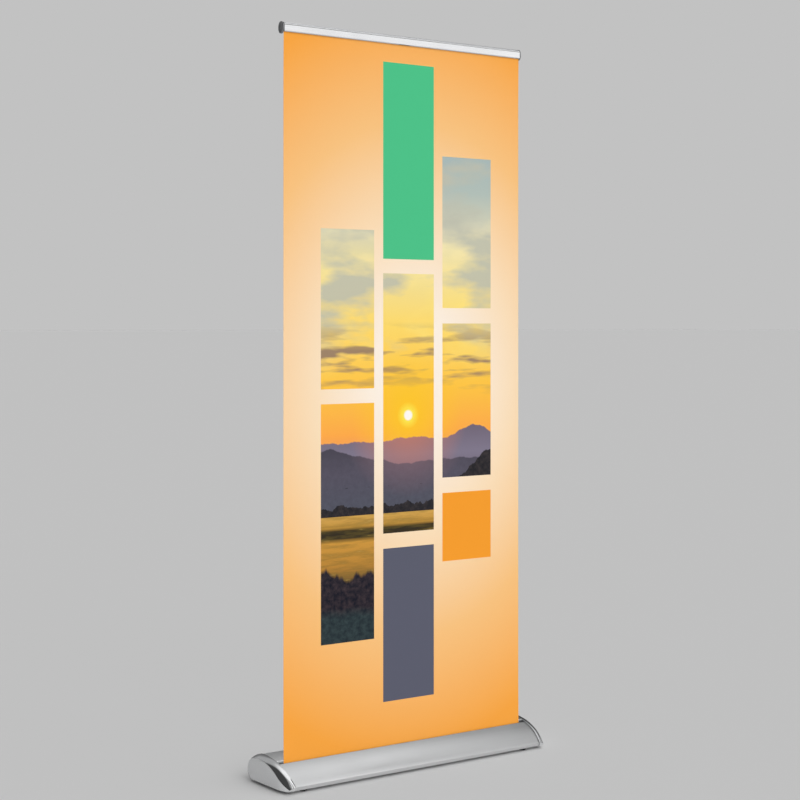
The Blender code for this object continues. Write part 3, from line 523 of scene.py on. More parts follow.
def drawSun(paint, across, down, tone):
    sideways = paint.sums("SUBTRACT", across, artwork["sun"][0])
    away = paint.sums("SUBTRACT", down, artwork["sun"][1])
    reach = howFar(paint, sideways, away)
    size = artwork["sunSize"]
    tone = paint.mix(paint.levels(reach, 0.02, 0.20, 0.85, 0.0), tone, linear(255, 206, 30))
    tone = paint.mix(paint.levels(reach, size, 0.040, 1.0, 0.0), tone, linear(255, 238, 84))
    tone = paint.mix(paint.levels(reach, size * 0.8, size * 1.2, 1.0, 0.0), tone, (1.0, 1.0, 1.0))
    return tone, reach


def drawLand(paint, across, down, flat, tone, reach):
    def under(crest, rise, scale, seed, soft=0.003):
        return ridgeMask(paint, across, down, crest, rise, scale, seed, soft)

    grain = paint.noise(paint.stretched(flat, (60.0, 60.0, 2.0)), 1.0, 6.0, 0.65)
    lit = paint.levels(reach, 0.04, 0.22, 1.0, 0.0)
    far = paint.ramp(paint.levels(down, 1.12, 1.28, 0.0, 1.0),
                     [(0.0, linear(112, 104, 124)), (0.5, linear(128, 123, 146)),
                      (1.0, linear(112, 104, 124))])
    far = paint.mix(paint.sums("MULTIPLY", lit, 0.9), far, linear(196, 128, 112))
    place, half, rise = artwork["peak"]
    aside = paint.sums("ABSOLUTE", paint.sums("SUBTRACT", across, place))
    crest = paint.sums("SUBTRACT", artwork["farRidge"], paint.levels(aside, 0.0, half, rise, 0.0))
    tone = paint.mix(under(crest, 0.07, 8.0, 3.1), tone, far)
    near = paint.ramp(paint.levels(down, 1.17, 1.34, 0.0, 1.0),
                      [(0.0, linear(74, 72, 86)), (0.45, linear(88, 86, 103)), (1.0, linear(84, 88, 104))])
    near = paint.mix(paint.levels(grain, 0.35, 0.7, 0.0, 0.35), near, linear(62, 60, 74))
    warm = paint.sums("MULTIPLY", paint.levels(reach, 0.08, 0.24, 1.0, 0.0), 0.75)
    near = paint.mix(warm, near, linear(140, 112, 124))
    fall = paint.levels(across, *artwork["nearRidge"])
    tone = paint.mix(under(fall, 0.05, 9.0, 8.4), tone, near)
    # field, hedges and the dark foreground
    field = paint.noise(paint.stretched(flat, (9.0, 70.0, 5.0)), 1.0, 6.0, 0.6)
    ground = paint.ramp(paint.levels(down, 1.36, 1.56, 0.0, 1.0), [
        (0.0, linear(214, 172, 92)), (0.20, linear(196, 150, 66)), (0.25, linear(50, 44, 32)),
        (0.36, linear(54, 48, 34)), (0.42, linear(206, 154, 66)), (0.75, linear(186, 136, 58)),
        (1.0, linear(104, 84, 52))])
    ground = paint.mix(paint.levels(field, 0.42, 0.66, 0.0, 0.6), ground, linear(120, 104, 48))
    ground = paint.mix(paint.levels(field, 0.60, 0.72, 0.0, 0.5), ground, linear(236, 196, 112))
    tone = paint.mix(under(artwork["field"], 0.012, 20.0, 1.7), tone, ground)
    trees = paint.mix(paint.levels(grain, 0.4, 0.7, 0.0, 0.7), linear(34, 34, 40), linear(70, 64, 66))
    band = paint.sums("MULTIPLY", under(artwork["hedge"], 0.05, 34.0, 5.2, 0.002),
                      paint.sums("LESS_THAN", down, artwork["hedgeFoot"]))
    tone = paint.mix(band, tone, trees)
    slope = paint.levels(across, *artwork["grove"])
    grove = paint.sums("MULTIPLY", under(slope, 0.05, 30.0, 12.6, 0.002),
                       paint.sums("LESS_THAN", down, artwork["groveFoot"]))
    tone = paint.mix(grove, tone, trees)
    bush = paint.mix(paint.levels(grain, 0.38, 0.72, 0.0, 1.0), linear(20, 22, 36), linear(66, 56, 62))
    tone = paint.mix(under(artwork["bushes"], 0.17, 11.0, 6.9, 0.012), tone, bush)
    grass = paint.mix(paint.levels(grain, 0.35, 0.7, 0.0, 1.0), linear(30, 42, 50), linear(56, 72, 76))
    return paint.mix(under(artwork["grass"], 0.03, 9.0, 2.4, 0.03), tone, grass)


def makePrint(flatWidth, flatLength, printTop, frontShare):
    paint = Paint("bannerPrint", linear(250, 200, 138), 0.5, Specular_IOR_Level=0.12)
    flatMap = paint.node("ShaderNodeUVMap", uv_map="OFBake")
    split = paint.node("ShaderNodeSeparateXYZ")
    paint.wire(flatMap.outputs["UV"], split.inputs["Vector"])
    across = paint.levels(split.outputs["X"], 0.0, frontShare, 0.0, flatWidth)
    down = paint.levels(split.outputs["Y"], 1.0, 0.0, -printTop, flatLength - printTop)
    together = paint.node("ShaderNodeCombineXYZ")
    paint.wire(across, together.inputs["X"])
    paint.wire(down, together.inputs["Y"])
    flat = together.outputs["Vector"]

    sideways = paint.sums("SUBTRACT", across, artwork["heart"][0])
    away = paint.sums("DIVIDE", paint.sums("SUBTRACT", down, artwork["heart"][1]), artwork["stretch"])
    reach = howFar(paint, sideways, away)
    tone = paint.ramp(reach, [(at, linear(*artwork[key])) for at, key in artwork["glow"]])

    picture = drawSky(paint, across, down, flat)
    picture, sunReach = drawSun(paint, across, down, picture)
    picture = drawLand(paint, across, down, flat, picture, sunReach)
    inside = None
    for column, top, foot in artwork["pictures"]:
        mask = window(paint, across, down, column, top, foot)
        inside = mask if inside is None else paint.sums("ADD", inside, mask)
    tone = paint.mix(inside, tone, picture)
    for column, top, foot, colour in artwork["blocks"]:
        tone = paint.mix(window(paint, across, down, column, top, foot), tone, linear(*colour))
    dots = paint.noise(paint.place(), 900.0, 2.0, 0.6)
    tone = paint.mix(1.0, tone, artwork["ink"], "MULTIPLY")
    tone = paint.mix(paint.levels(dots, 0.3, 0.7, 0.0, 0.025), tone, (0.0, 0.0, 0.0))
    paint.drive("Base Color", tone)
    paint.drive("Roughness", paint.levels(dots, 0.25, 0.75, 0.44, 0.56))
    paint.bump(dots, 0.08, 0.0001)
    return paint.material


# the film
filmShape = {
    "acrossCuts": 60, "upCuts": 140, "thick": 0.0005,
    # the side edges lean back: how far, from how far in, and where the lean starts and is full
    "curl": 0.0012, "curlWidth": 0.010, "curlTop": 0.02, "curlFoot": 0.075, "curlEase": 0.12,
    "frontShare": 0.94, "backFrom": 0.96,  # places of the two sides in the flat map
}


def makeBanner():
    shape = filmShape
    width = filmHalf * 2
    length = filmHigh.z - filmLow.z
    clearSelection()
    bpy.ops.mesh.primitive_grid_add(x_subdivisions=shape["acrossCuts"], y_subdivisions=shape["upCuts"],
                                    size=1.0, rotation=(math.pi / 2, 0, 0),
                                    location=(0, filmY, (filmLow.z + filmHigh.z) / 2))
    obj = bpy.context.object
    obj.name = "printedBanner"
    obj.scale = (width, length, 1)
    settle(obj)
    faceTowards(obj, (0, -1, 0))
    for point in obj.data.vertices:
        rim = max(abs(point.co.x) - (filmHalf - shape["curlWidth"]), 0) / shape["curlWidth"]
        below = (railZ - shape["curlTop"] - point.co.z) / shape["curlEase"]
        above = (point.co.z - shape["curlFoot"]) / shape["curlEase"]
        point.co.y += shape["curl"] * rim * rim * min(max(below, 0), max(above, 0), 1)
    addModifier(obj, "SOLIDIFY", thickness=shape["thick"], offset=0.0, use_even_offset=True)
    layer = obj.data.uv_layers.get("UVMap") or obj.data.uv_layers[0]
    layer.name = "OFBake"
    obj.data.materials.append(makePrint(width, length, filmHigh.z - railZ, shape["frontShare"]))
    obj.data.materials.append(filmBack)
    for face in obj.data.polygons:
        front = face.normal.y < -0.5
        face.material_index = 0 if front else 1
        for loop in face.loop_indices:
            place = obj.data.vertices[obj.data.loops[loop].vertex_index].co
            u = (place.x + filmHalf) / width
            v = (place.z - filmLow.z) / length
            u = u * shape["frontShare"] if front else shape["backFrom"] + u * (1 - shape["backFrom"])
            layer.data[loop].uv = (u, v)
    shadeByAngle(obj, 40)
    obj.visible_glossy = False   # keeps the print's colours out of the aluminium
    obj.visible_diffuse = False  # and off the pale floor
    obj.visible_shadow = False   # and the floor behind evenly lit
    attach(obj, "base")
    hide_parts("banner_film")
    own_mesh(obj)


makeBanner()
print("film done")


# the base: two aluminium skins
baseShape = {
    # outline, as reaches from the film and heights above the underside
    "toeTip": 0.012, "toeFlat": 0.076, "crestReach": 0.075, "crest": 0.071, "heelTip": 0.034,
    "heelFlat": 0.108, "flange": 0.032,
    # wall, slot for the film, bead along it, hole for the pole's socket
    "wall": 0.002, "slotFront": 0.005, "slotBack": 0.006, "lipDepth": 0.0065, "bead": 0.0026,
    "beadRise": 0.001, "beadShort": 0.0053, "beadEdge": 0.0006, "beadSides": 32,
    "hole": 0.0139, "holeSides": 64, "drill": 0.06, "steps": 18, "edge": 0.0003,
}
toeReach = filmY - frontLow.y
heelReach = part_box("rear_housing")[1].y - filmY


def housingKnots(proud=0.0):
    # toe, slope, crest and heel; proud moves the outline outwards
    shape = baseShape
    return [
        ((-shape["toeFlat"], 0), (0, 0), (-0.006 - proud / 2, 0)),
        ((-toeReach - proud, shape["toeTip"]), (0, -0.007), (0.022, 0.028 + proud / 2)),
        ((shape["crestReach"], shape["crest"] + proud), (-0.080 - proud, 0.001), (0.030, 0)),
        ((heelReach + proud, shape["heelTip"]), (0, 0.022 + proud / 2), (0, -0.018)),
        ((shape["heelFlat"], 0), (0.010 + proud / 2, 0), (0, 0)),
    ]


def makeSkin(name, keepFront):
    shape = baseShape
    knots = housingKnots()
    knots.insert(0, corner(-shape["toeFlat"] + shape["flange"], 0))
    knots.append(corner(shape["heelFlat"] - shape["flange"], 0))
    obj = drawWire(name, knots, -shellHalf, steps=shape["steps"])
    extrudeWire(obj, 2 * shellHalf)
    cut = filmY - shape["slotFront"] if keepFront else filmY + shape["slotBack"]
    editAll(obj)
    bpy.ops.mesh.bisect(plane_co=(0, cut, 0), plane_no=(0, 1, 0), clear_outer=keepFront,
                        clear_inner=not keepFront)
    leaveEdit()
    lip = max(point.co.z for point in obj.data.vertices if abs(point.co.y - cut) < 1e-5)
    selectWhere(obj, lambda co: abs(co.y - cut) < 1e-5 and co.z > lip - 0.001, "EDGE")
    bpy.ops.mesh.extrude_edges_move(TRANSFORM_OT_translate={"value": (0, 0, -shape["lipDepth"])})
    leaveEdit()
    recalculate(obj)
    faceTowards(obj, (0, -1, 1) if keepFront else (0, 1, 1))
    addModifier(obj, "SOLIDIFY", thickness=shape["wall"], offset=-1.0, use_even_offset=True)
    softEdges(obj, shape["edge"], 2, 40)
    return obj, lip


def makeFrontSkin():
    obj, _ = makeSkin("frontHousing", True)
    shadeByAngle(obj, 30)
    handOver(obj, satinAluminium, "base", "front_housing")


def makeRearSkin():
    shape = baseShape
    obj, lip = makeSkin("rearHousing", False)
    # hole for the pole's socket
    socketLow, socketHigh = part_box("pole_socket")
    centre = (socketLow + socketHigh) / 2
    clearSelection()
    bpy.ops.mesh.primitive_cylinder_add(vertices=shape["holeSides"], radius=shape["hole"],
                                        depth=shape["drill"],
                                        location=(centre.x, centre.y, underside + shape["crest"]))
    drill = bpy.context.object
    addModifier(obj, "BOOLEAN", object=drill, operation="DIFFERENCE", solver="EXACT")
    bpy.data.objects.remove(drill)
    # rounded bead along the slot
    bead = makeRod(shape["bead"], shellHalf - shape["beadShort"], filmY + shape["slotBack"] + shape["bead"],
                   lip + shape["beadRise"], shape["beadSides"])
    softEdges(bead, shape["beadEdge"], 3, 60)
    obj = joinAll([obj, bead], "rearHousing")
    shadeByAngle(obj, 30)
    handOver(obj, satinAluminium, "base", "rear_housing")


makeFrontSkin()
makeRearSkin()
print("housing skins done")


# chrome end caps and their side panels
capShape = {
    "sleeve": 0.005, "proud": 0.0025, "lip": 0.001, "lipChamfer": 0.0004, "bulge": 2.2, "rounds": 14,
    # the toe drawn inwards in plan: how far, the rim's share of it, where it starts, how it eases in
    "taper": 0.013, "rimSweep": 0.46, "crease": -0.038, "sweepEase": 1.8,
    # strips across the flat faces: how many, the first one's place from the toe, their pitch
    "strips": 14, "stripFrom": 0.004, "stripPitch": 0.014, "facing": 0.7,
    "panelThick": 0.002, "panelEdge": 0.0005, "edge": 0.0004, "merge": 0.00002, "steps": 12,
}
rimX = shellHalf - capShape["sleeve"]
edgeX = max(abs(spot.x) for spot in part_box("end_cap_right"))


def panelKnots(proud=0.0):
    shape = baseShape
    floor = max(0.0008 - proud, 0.0)
    return [
        ((-toeReach + 0.010, floor), (0, 0), (-0.004, 0)),
        ((-toeReach + 0.003 - proud, 0.006), (0, -0.003), (0.046, 0.024 + proud / 2)),
        ((shape["crestReach"] - 0.009, shape["crest"] - 0.0065 + proud), (-0.078 - proud, 0), (0.036, 0)),
        ((heelReach - 0.0055 + proud, shape["heelTip"] - 0.004), (0, 0.020 + proud / 2), (0, -0.014)),
        ((shape["heelFlat"] - 0.003, floor), (0.006, 0.001), (0, 0)),
    ]


def sweepToe(obj, side, share):
    # share tells how much of the sweep a point gets
    shape = capShape
    crease = shape["crease"]
    for point in obj.data.vertices:
        reach = point.co.y - filmY
        along = max((crease - reach) / (crease + toeReach), 0.0)
        point.co.x -= side * shape["taper"] * share(abs(point.co.x)) * along ** shape["sweepEase"]


def cutStrips(obj):
    # flat faces across become strips, so that they follow the swept toe
    for i in range(capShape["strips"]):
        selectWhere(obj, lambda place, normal: abs(normal.x) > capShape["facing"])
        cut = filmY - toeReach + capShape["stripFrom"] + capShape["stripPitch"] * i
        bpy.ops.mesh.bisect(plane_co=(0, cut, 0), plane_no=(0, 1, 0))
        leaveEdit()


def makeCap(side, hand):
    shape = capShape
    name = "endCap" + hand
    lipX = edgeX - shape["lipChamfer"]

    def loop(knots, x):
        return drawWire(name, knots, side * x, closed=True, steps=shape["steps"])

    # the domed band from the rim to the side panel
    band = bridgeLoops(loop(housingKnots(shape["proud"]), rimX), loop(panelKnots(shape["lip"]), edgeX),
                       shape["rounds"])
    for point in band.data.vertices:
        share = round((abs(point.co.x) - rimX) / (edgeX - rimX), 4)
        point.co.x = side * (rimX + (edgeX - rimX) * max(share, 0.0) ** (1 / shape["bulge"]))
    seat = edgeX - shape["panelThick"] - plyGap
    face = bridgeLoops(loop(panelKnots(shape["lip"]), edgeX), loop(panelKnots(plyGap), lipX))
    wall = bridgeLoops(loop(panelKnots(plyGap), lipX), loop(panelKnots(plyGap), seat))
    brim = bridgeLoops(loop(housingKnots(shape["proud"]), rimX), loop(housingKnots(plyGap), rimX))
    obj = joinAll([band, face, wall, brim], name)
    rim, span = shape["rimSweep"], edgeX - rimX
    sweepToe(obj, side, lambda x: rim + (1 - rim) * (x - rimX) / span)
    sleeve = bridgeLoops(loop(housingKnots(plyGap), rimX), loop(housingKnots(plyGap), shellHalf + plyGap))
    sweepToe(sleeve, side, lambda x: rim if x < shellHalf else 0.0)
    obj = joinAll([obj, sleeve], name)
    editAll(obj)
    bpy.ops.mesh.remove_doubles(threshold=shape["merge"])
    bpy.ops.mesh.select_all(action="DESELECT")
    bpy.ops.mesh.select_mode(type="EDGE")
    bpy.ops.mesh.select_non_manifold(use_wire=False, use_boundary=True, use_multi_face=False,
                                     use_non_contiguous=False, use_verts=False)
    bpy.ops.mesh.fill_holes(sides=0)
    leaveEdit()
    cutStrips(obj)
    recalculate(obj)
    softEdges(obj, shape["edge"], 3, 50)
    shadeByAngle(obj, 38)
    handOver(obj, chrome, "base", "end_cap_" + hand.lower())


def makePanel(side, hand):
    shape = capShape
    inner = side * (edgeX - shape["panelThick"])
    obj = drawWire("sidePanel" + hand, panelKnots(), inner, closed=True, steps=shape["steps"])
    editAll(obj)
    bpy.ops.mesh.edge_face_add()
    leaveEdit()
    cutStrips(obj)
    editAll(obj)
    bpy.ops.mesh.extrude_region_move(TRANSFORM_OT_translate={"value": (side * shape["panelThick"], 0, 0)})
    leaveEdit()
    sweepToe(obj, side, lambda x: 1.0)
    recalculate(obj)
    softEdges(obj, shape["panelEdge"], 3, 50)
    shadeByAngle(obj, 30)
    handOver(obj, satinGrey, "base", "side_panel_" + hand.lower())


hands = ((-1, "Left"), (1, "Right"))
for way, hand in hands:
    makeCap(way, hand)
    makePanel(way, hand)
print("end caps done")


# the rail: rear extrusion, jaw and end caps
railShape = {
    "face": 0.006, "height": 0.0255, "back": 0.018, "wall": 0.0014, "bead": 0.0013, "beadSides": 24,
    # the jaw, from the bead down to the tongue that grips the film
    "neckBack": 0.0008, "neckDrop": 0.0029, "brow": 0.0020, "fillet": 0.0011, "tongue": 0.00125,
    "grip": 0.0048,
    # the rear: socket round the bead in degrees, rounded top, and the wall behind the film
    "socketWall": 0.001, "socketFrom": 152, "socketTo": -70, "turn": 0.0018, "innerWall": 0.00325,
    "jawEdge": 0.00022, "rearEdge": 0.0002, "steps": 6,
}
capEnd = {"sides": 72, "flatterDeep": 0.85, "flatterHigh": 0.95, "skirt": 0.8, "crown": 0.2,
          "shoulder": 0.0016, "dish": 0.0020, "dip": 0.0003, "edge": 0.0004}


def railKnuckle():
    outer = railShape["bead"] + plyGap + railShape["socketWall"]
    return (-railShape["face"] + outer, railShape["height"] - outer)


def railStrip(name, knots, thick, length):
    obj = drawWire(name, knots, -length, (filmY, railZ), steps=railShape["steps"])
    extrudeWire(obj, 2 * length)
    recalculate(obj)
    addModifier(obj, "SOLIDIFY", thickness=thick, offset=0.0, use_even_offset=True)
    return obj


def makeJaw():
    shape = railShape
    knuckle = railKnuckle()
    half = shape["wall"] / 2
    face = -shape["face"] + half
    neck = (knuckle[0] - shape["neckBack"], knuckle[1] - shape["neckDrop"])
    fillet = shape["fillet"]
    foot = arcKnots((face + fillet, half + fillet), fillet, 180, 270, 2)
    knots = [corner(*knuckle), corner(*neck), corner(face, neck[1] - shape["brow"])] + foot
    knots += [corner(-shape["tongue"], half), corner(-shape["tongue"], shape["grip"])]
    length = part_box("rail_jaw")[1].x
    plate = railStrip("railJaw", knots, shape["wall"], length)
    bead = makeRod(shape["bead"], length, filmY + knuckle[0], railZ + knuckle[1], shape["beadSides"])
    obj = joinAll([plate, bead], "railJaw")
    softEdges(obj, shape["jawEdge"], 2, 40)
    shadeByAngle(obj, 18)  # keeps the tall face flat
    handOver(obj, brushedRail, "jaw", "rail_jaw")


def makeRailRear():
    shape = railShape
    knuckle = railKnuckle()
    middle = shape["bead"] + plyGap + shape["socketWall"] / 2
    top = shape["height"] - shape["socketWall"] / 2
    back = shape["back"] - shape["socketWall"] / 2
    turn = shape["turn"]
    hug = arcKnots(knuckle, middle, shape["socketFrom"], shape["socketTo"], 6)
    socket = railStrip("railRear", hug, shape["socketWall"], railHalf)
    shellKnots = [corner(knuckle[0], top)] + arcKnots((back - turn, top - turn), turn, 90, 0, 2)
    shellKnots.append(corner(back, 0.0))
    shell = railStrip("railShell", shellKnots, shape["socketWall"], railHalf)
    wallY = shape["innerWall"] - shape["wall"] / 2
    wall = railStrip("railWall", [corner(wallY, 0.0), corner(wallY, top)], shape["wall"], railHalf)
    obj = joinAll([socket, shell, wall], "railRear")
    softEdges(obj, shape["rearEdge"], 2, 40)
    shadeByAngle(obj, 30)
    handOver(obj, brushedRail, "rail", "rail_rear")


def makeRailCap(side, hand):
    shape = capEnd
    node = "rail_cap_" + hand.lower()
    low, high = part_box(node)
    middle = (low + high) / 2
    halfDeep = (high.y - low.y) / 2
    halfHigh = (high.z - low.z) / 2
    thick = high.x - low.x
    clearSelection()
    bpy.ops.mesh.primitive_circle_add(vertices=shape["sides"], radius=1.0, fill_type="NGON",
                                      rotation=(0, side * math.pi / 2, 0))
    obj = bpy.context.object
    obj.name = "railCap" + hand
    settle(obj)
    inner = low.x if side > 0 else high.x
    # the circle becomes a flattened oval
    for point in obj.data.vertices:
        deep = math.copysign(abs(point.co.y) ** shape["flatterDeep"], point.co.y)
        tall = math.copysign(abs(point.co.z) ** shape["flatterHigh"], point.co.z)
        point.co = (inner, middle.y + halfDeep * deep, middle.z + halfHigh * tall)
    editAll(obj)
    bpy.ops.mesh.select_mode(type="FACE")
    bpy.ops.mesh.extrude_region_move(TRANSFORM_OT_translate={"value": (side * thick * shape["skirt"], 0, 0)})
    bpy.ops.mesh.inset(thickness=shape["shoulder"], depth=0)
    bpy.ops.transform.translate(value=(side * thick * shape["crown"], 0, 0))
    bpy.ops.mesh.inset(thickness=shape["dish"], depth=0)
    bpy.ops.transform.translate(value=(-side * shape["dip"], 0, 0))
    leaveEdit()
    recalculate(obj)
    softEdges(obj, shape["edge"], 3, 25)
    shadeByAngle(obj, 35)
    handOver(obj, gunmetal, "rail", node)


makeJaw()
makeRailRear()
for way, hand in hands:
    makeRailCap(way, hand)
print("rail done")


# the pole: three tubes, two twist locks and the socket in the base
tubeShape = {"wall": 0.0012, "edge": 0.0003}  # wall, chamfer at the ends
lockShape = {
    "slide": 0.0005, "lead": 0.0012, "collar": 0.0004, "start": 0.001, "collarTop": 0.003,
    "grip": 0.0038, "gripTop": 0.0260, "gripEnd": 0.0268, "coneFrom": 0.0300, "coneIn": 0.0022,
    "tipIn": 0.003, "tipDown": 0.002, "edge": 0.00015,
    "ribs": 30, "rib": 0.0005, "ribInset": 0.0001, "ribFace": 0.0006,
}
socketShape = {
    "bore": 0.0098, "wall": 0.0035, "pin": 0.0004, "edge": 0.0008, "flangeEdge": 0.0005,
    "flangeThick": 0.002, "fillet": 0.0016, "filletTop": 0.0042, "floor": 0.0035,
}


def middleOf(low, high):
    return ((low.x + high.x) / 2, (low.y + high.y) / 2, 0)


def reachOf(node):
    low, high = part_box(node)
    return (high.x - low.x) / 2


def fromAxis(place, centre, count):
    # how far a place is from an upright axis, and whether it is in the first half of its rib
    axis = Vector(centre)
    flat = Vector((place.x - axis.x, place.y - axis.y))
    pitch = 360 / count
    return flat.length, math.degrees(math.atan2(flat.y, flat.x)) % pitch < pitch / 2


def makeTube(name, node, body):
    low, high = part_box(node)
    radius = reachOf(node)
    bore = radius - tubeShape["wall"]
    edge = tubeShape["edge"]
    profile = [(bore, low.z), (radius - edge, low.z), (radius, low.z + edge), (radius, high.z - edge),
               (radius - edge, high.z), (bore, high.z)]
    obj = turnProfile(name, profile, middleOf(low, high))
    shadeByAngle(obj, 30)
    obj.visible_glossy = False  # or the front housing would mirror it through the film
    handOver(obj, drawnTube, body, node)


def makeLock(name, node, body, tubeNode, upperNode):
    # twist lock: ribbed grip, smooth shoulder, stepped bore
    shape = lockShape
    low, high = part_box(node)
    outer = reachOf(node)
    wide = reachOf(tubeNode) + shape["slide"]
    narrow = reachOf(upperNode) + shape["slide"]
    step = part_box(tubeNode)[1].z + shape["slide"]
    collar = outer - shape["collar"]
    profile = [(wide, low.z), (outer - shape["lead"], low.z), (collar, low.z + shape["start"]),
               (collar, low.z + shape["collarTop"]), (outer, low.z + shape["grip"]),
               (outer, low.z + shape["gripTop"]), (collar, low.z + shape["gripEnd"]),
               (collar, low.z + shape["coneFrom"]), (outer - shape["coneIn"], high.z - shape["tipDown"]),
               (outer - shape["tipIn"], high.z), (narrow, high.z), (narrow, step), (wide, step)]
    centre = middleOf(low, high)
    obj = turnProfile(name, profile, centre, 2 * shape["ribs"])

    def groove(place, normal):
        reach, firstHalf = fromAxis(place, centre, shape["ribs"])
        onGrip = low.z + shape["grip"] < place.z < low.z + shape["gripTop"]
        return onGrip and reach > outer - shape["ribFace"] and firstHalf

    selectWhere(obj, groove)
    bpy.ops.mesh.inset(thickness=shape["ribInset"], depth=-shape["rib"], use_individual=True)
    leaveEdit()
    softEdges(obj, shape["edge"], 1, 40)
    shadeByAngle(obj, 35)
    obj.visible_glossy = False
    handOver(obj, blackPlastic, body, node)


def makeSocket():
    shape = socketShape
    low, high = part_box("pole_socket")
    bore, pin, edge = shape["bore"], shape["pin"], shape["edge"]
    outer = bore + shape["wall"]
    flange = reachOf("pole_socket")
    seat = underside + baseShape["crest"] + plyGap
    top = seat + shape["flangeThick"]
    soft = shape["flangeEdge"]
    profile = [(pin, low.z), (outer, low.z), (outer, seat), (flange - pin, seat), (flange, seat + soft),
               (flange, top - soft), (flange - soft, top), (outer + shape["fillet"], top + soft),
               (outer + pin, seat + shape["filletTop"]), (outer, high.z - edge), (outer - edge, high.z),
               (bore + edge, high.z), (bore, high.z - edge), (bore, low.z + shape["floor"]),
               (pin, low.z + shape["floor"])]
    obj = turnProfile("poleSocket", profile, middleOf(low, high), 64)
    shadeByAngle(obj, 35)
    handOver(obj, blackPlastic, "base", "pole_socket")


makeTube("lowerTube", "pole_lower_tube", "base")
makeTube("middleTube", "pole_middle_tube", "pole_middle")
makeTube("upperTube", "pole_upper_tube", "pole_upper")
makeLock("lowerTwistLock", "lower_twist_lock", "lower_lock", "pole_lower_tube", "pole_middle_tube")
makeLock("upperTwistLock", "upper_twist_lock", "upper_lock", "pole_middle_tube", "pole_upper_tube")
makeSocket()
print("pole done")


# rubber pads of the levelling feet
padShape = {
    "hollow": 0.0006, "hollowIn": 0.004, "hollowOut": 0.0046, "edge": 0.001, "chamfer": 0.0022,
    "brim": 0.0008, "top": 0.003, "pin": 0.0004,
    "notches": 24, "notch": 0.0004, "notchInset": 0.0002, "rimShare": 0.95,
}


def makeFootPad(label):
    shape = padShape
    node = "foot_pad_" + label
    low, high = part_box(node)
    radius = reachOf(node)
    raised = low.z + shape["hollow"]
    edge = shape["edge"]
    profile = [(shape["pin"], raised), (shape["hollowIn"], raised), (shape["hollowOut"], low.z),
               (radius - edge, low.z), (radius, low.z + edge), (radius, high.z - shape["chamfer"]),
               (radius - shape["brim"], high.z - shape["brim"]), (radius - shape["top"], high.z),
               (shape["pin"], high.z)]
    centre = middleOf(low, high)
    obj = turnProfile("footPad_" + label, profile, centre, 2 * shape["notches"])

    def notch(place, normal):
        reach, firstHalf = fromAxis(place, centre, shape["notches"])
        return abs(normal.z) < 0.2 and reach > radius * shape["rimShare"] and firstHalf

    selectWhere(obj, notch)
    bpy.ops.mesh.inset(thickness=shape["notchInset"], depth=-shape["notch"], use_individual=True)
    leaveEdit()
    shadeByAngle(obj, 35)
    handOver(obj, rubber, "foot_" + label, node)


for row in ("front", "back"):
    for hand in ("left", "right"):
        makeFootPad(f"{row}_{hand}")
print("feet done")


# pieces that keep their CAD shape get their finish
nodeFinish = {
    "base_plate": zincSteel, "roller_tube": zincSteel, "spring_shaft": zincSteel,
    "torsion_spring": zincSteel, "film_pack": filmBack, "grip_strip": rubber,
    "pole_tip": blackPlastic, "pole_foot_plug": blackPlastic,
    "roller_plug_left": blackPlastic, "roller_plug_right": blackPlastic,
}
for nodeName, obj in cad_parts.items():
    finish = nodeFinish.get(nodeName)
    if nodeName.startswith(("cap_screw", "foot_stud")):
        finish = zincSteel
    if finish is not None:
        obj.data.materials.clear()
        obj.data.materials.append(finish)
print("finishes set")


# floor, light and camera
studio = {
    "grey": (194, 194, 194), "floorAlbedo": 0.72, "floorSize": 900.0, "fill": 0.48,
    # soft boxes, then dark flags: direction, where it starts and is full, how much it adds or takes
    "boxes": [((0.35, -0.05, 0.93), 0.78, 0.97, 0.78), ((0.70, -0.70, 0.16), 0.84, 0.99, 0.88),
              ((0.22, -0.74, 0.63), 0.94, 0.975, 1.3)],
    "flags": [((-0.80, 0.25, 0.57), 0.66, 0.78, 0.85), ((0.515, -0.24, 0.83), 0.982, 0.988, 0.95),
              ((0.45, 0.88, 0.10), 0.82, 0.95, 0.55), ((0.82, 0.53, 0.20), 0.88, 0.95, 0.8)],
    "sunTowards": (-0.30, -0.85, 0.55), "sunStrength": 1.62, "sunSpread": 50.0,
    "camera": (-2.9566, -4.1038, 1.2903), "heading": -35.687, "lens": 77.2, "rise": -0.0925,
    "farClip": 2000.0,
}


def makeFloor():
    clearSelection()
    bpy.ops.mesh.primitive_plane_add(size=studio["floorSize"], location=(0, 0, 0))
    floor = bpy.context.object
    floor.name = "floor"
    paint = Paint("paleFloor", (studio["floorAlbedo"],) * 3, 0.9, Specular_IOR_Level=0.0)
    floor.data.materials.append(paint.material)


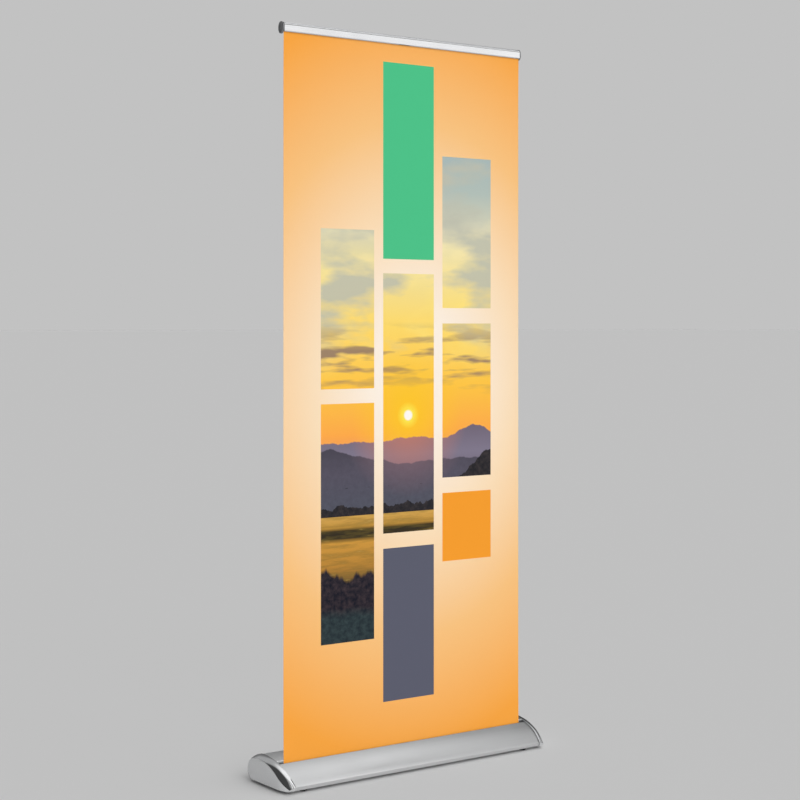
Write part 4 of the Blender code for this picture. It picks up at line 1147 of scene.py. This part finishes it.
def makeWorld():
    # plain grey behind the object, soft boxes and flags for everything else
    world = bpy.data.worlds.new("softStudio")
    bpy.context.scene.world = world
    world.use_nodes = True
    world.node_tree.nodes.clear()
    wiring = Wiring(world.node_tree)
    around = wiring.node("ShaderNodeTexCoord").outputs["Generated"]

    def lobe(axis, low, high, strength):
        # how much of a soft box or flag lies in a direction
        toward = wiring.node("ShaderNodeVectorMath", operation="DOT_PRODUCT")
        toward.inputs[1].default_value = Vector(axis).normalized()
        wiring.wire(around, toward.inputs[0])
        return wiring.levels(toward.outputs["Value"], low, high, 0.0, strength, "SMOOTHSTEP")

    brightness = studio["fill"]
    for box in studio["boxes"]:
        brightness = wiring.sums("ADD", brightness, lobe(*box))
    for flag in studio["flags"]:
        brightness = wiring.sums("MULTIPLY", brightness, wiring.sums("SUBTRACT", 1.0, lobe(*flag)))
    light = wiring.node("ShaderNodeBackground")
    wiring.wire(brightness, light.inputs["Strength"])
    seen = wiring.node("ShaderNodeBackground")
    seen.inputs["Color"].default_value = (*linear(*studio["grey"]), 1)
    chosen = wiring.node("ShaderNodeMixShader")
    wiring.wire(wiring.node("ShaderNodeLightPath").outputs["Is Camera Ray"], chosen.inputs["Fac"])
    wiring.wire(light.outputs["Background"], chosen.inputs[1])
    wiring.wire(seen.outputs["Background"], chosen.inputs[2])
    wiring.wire(chosen.outputs["Shader"], wiring.node("ShaderNodeOutputWorld").inputs["Surface"])


def makeSunAndCamera():
    clearSelection()
    bpy.ops.object.light_add(type="SUN", location=(-2, -6, 3))
    sun = bpy.context.object
    sun.name = "softKey"
    sun.data.energy = studio["sunStrength"]
    sun.data.angle = math.radians(studio["sunSpread"])
    sun.rotation_euler = Vector(studio["sunTowards"]).to_track_quat("Z", "Y").to_euler()
    sun.visible_glossy = False  # metals mirror the soft boxes alone

    turned = (math.pi / 2, 0, math.radians(studio["heading"]))
    bpy.ops.object.camera_add(location=studio["camera"], rotation=turned)
    camera = bpy.context.object
    camera.data.lens = studio["lens"]
    camera.data.shift_y = studio["rise"]
    camera.data.clip_end = studio["farClip"]
    bpy.context.scene.camera = camera
    bpy.context.scene.view_settings.view_transform = "Standard"


makeFloor()
makeWorld()
makeSunAndCamera()
print("studio done")
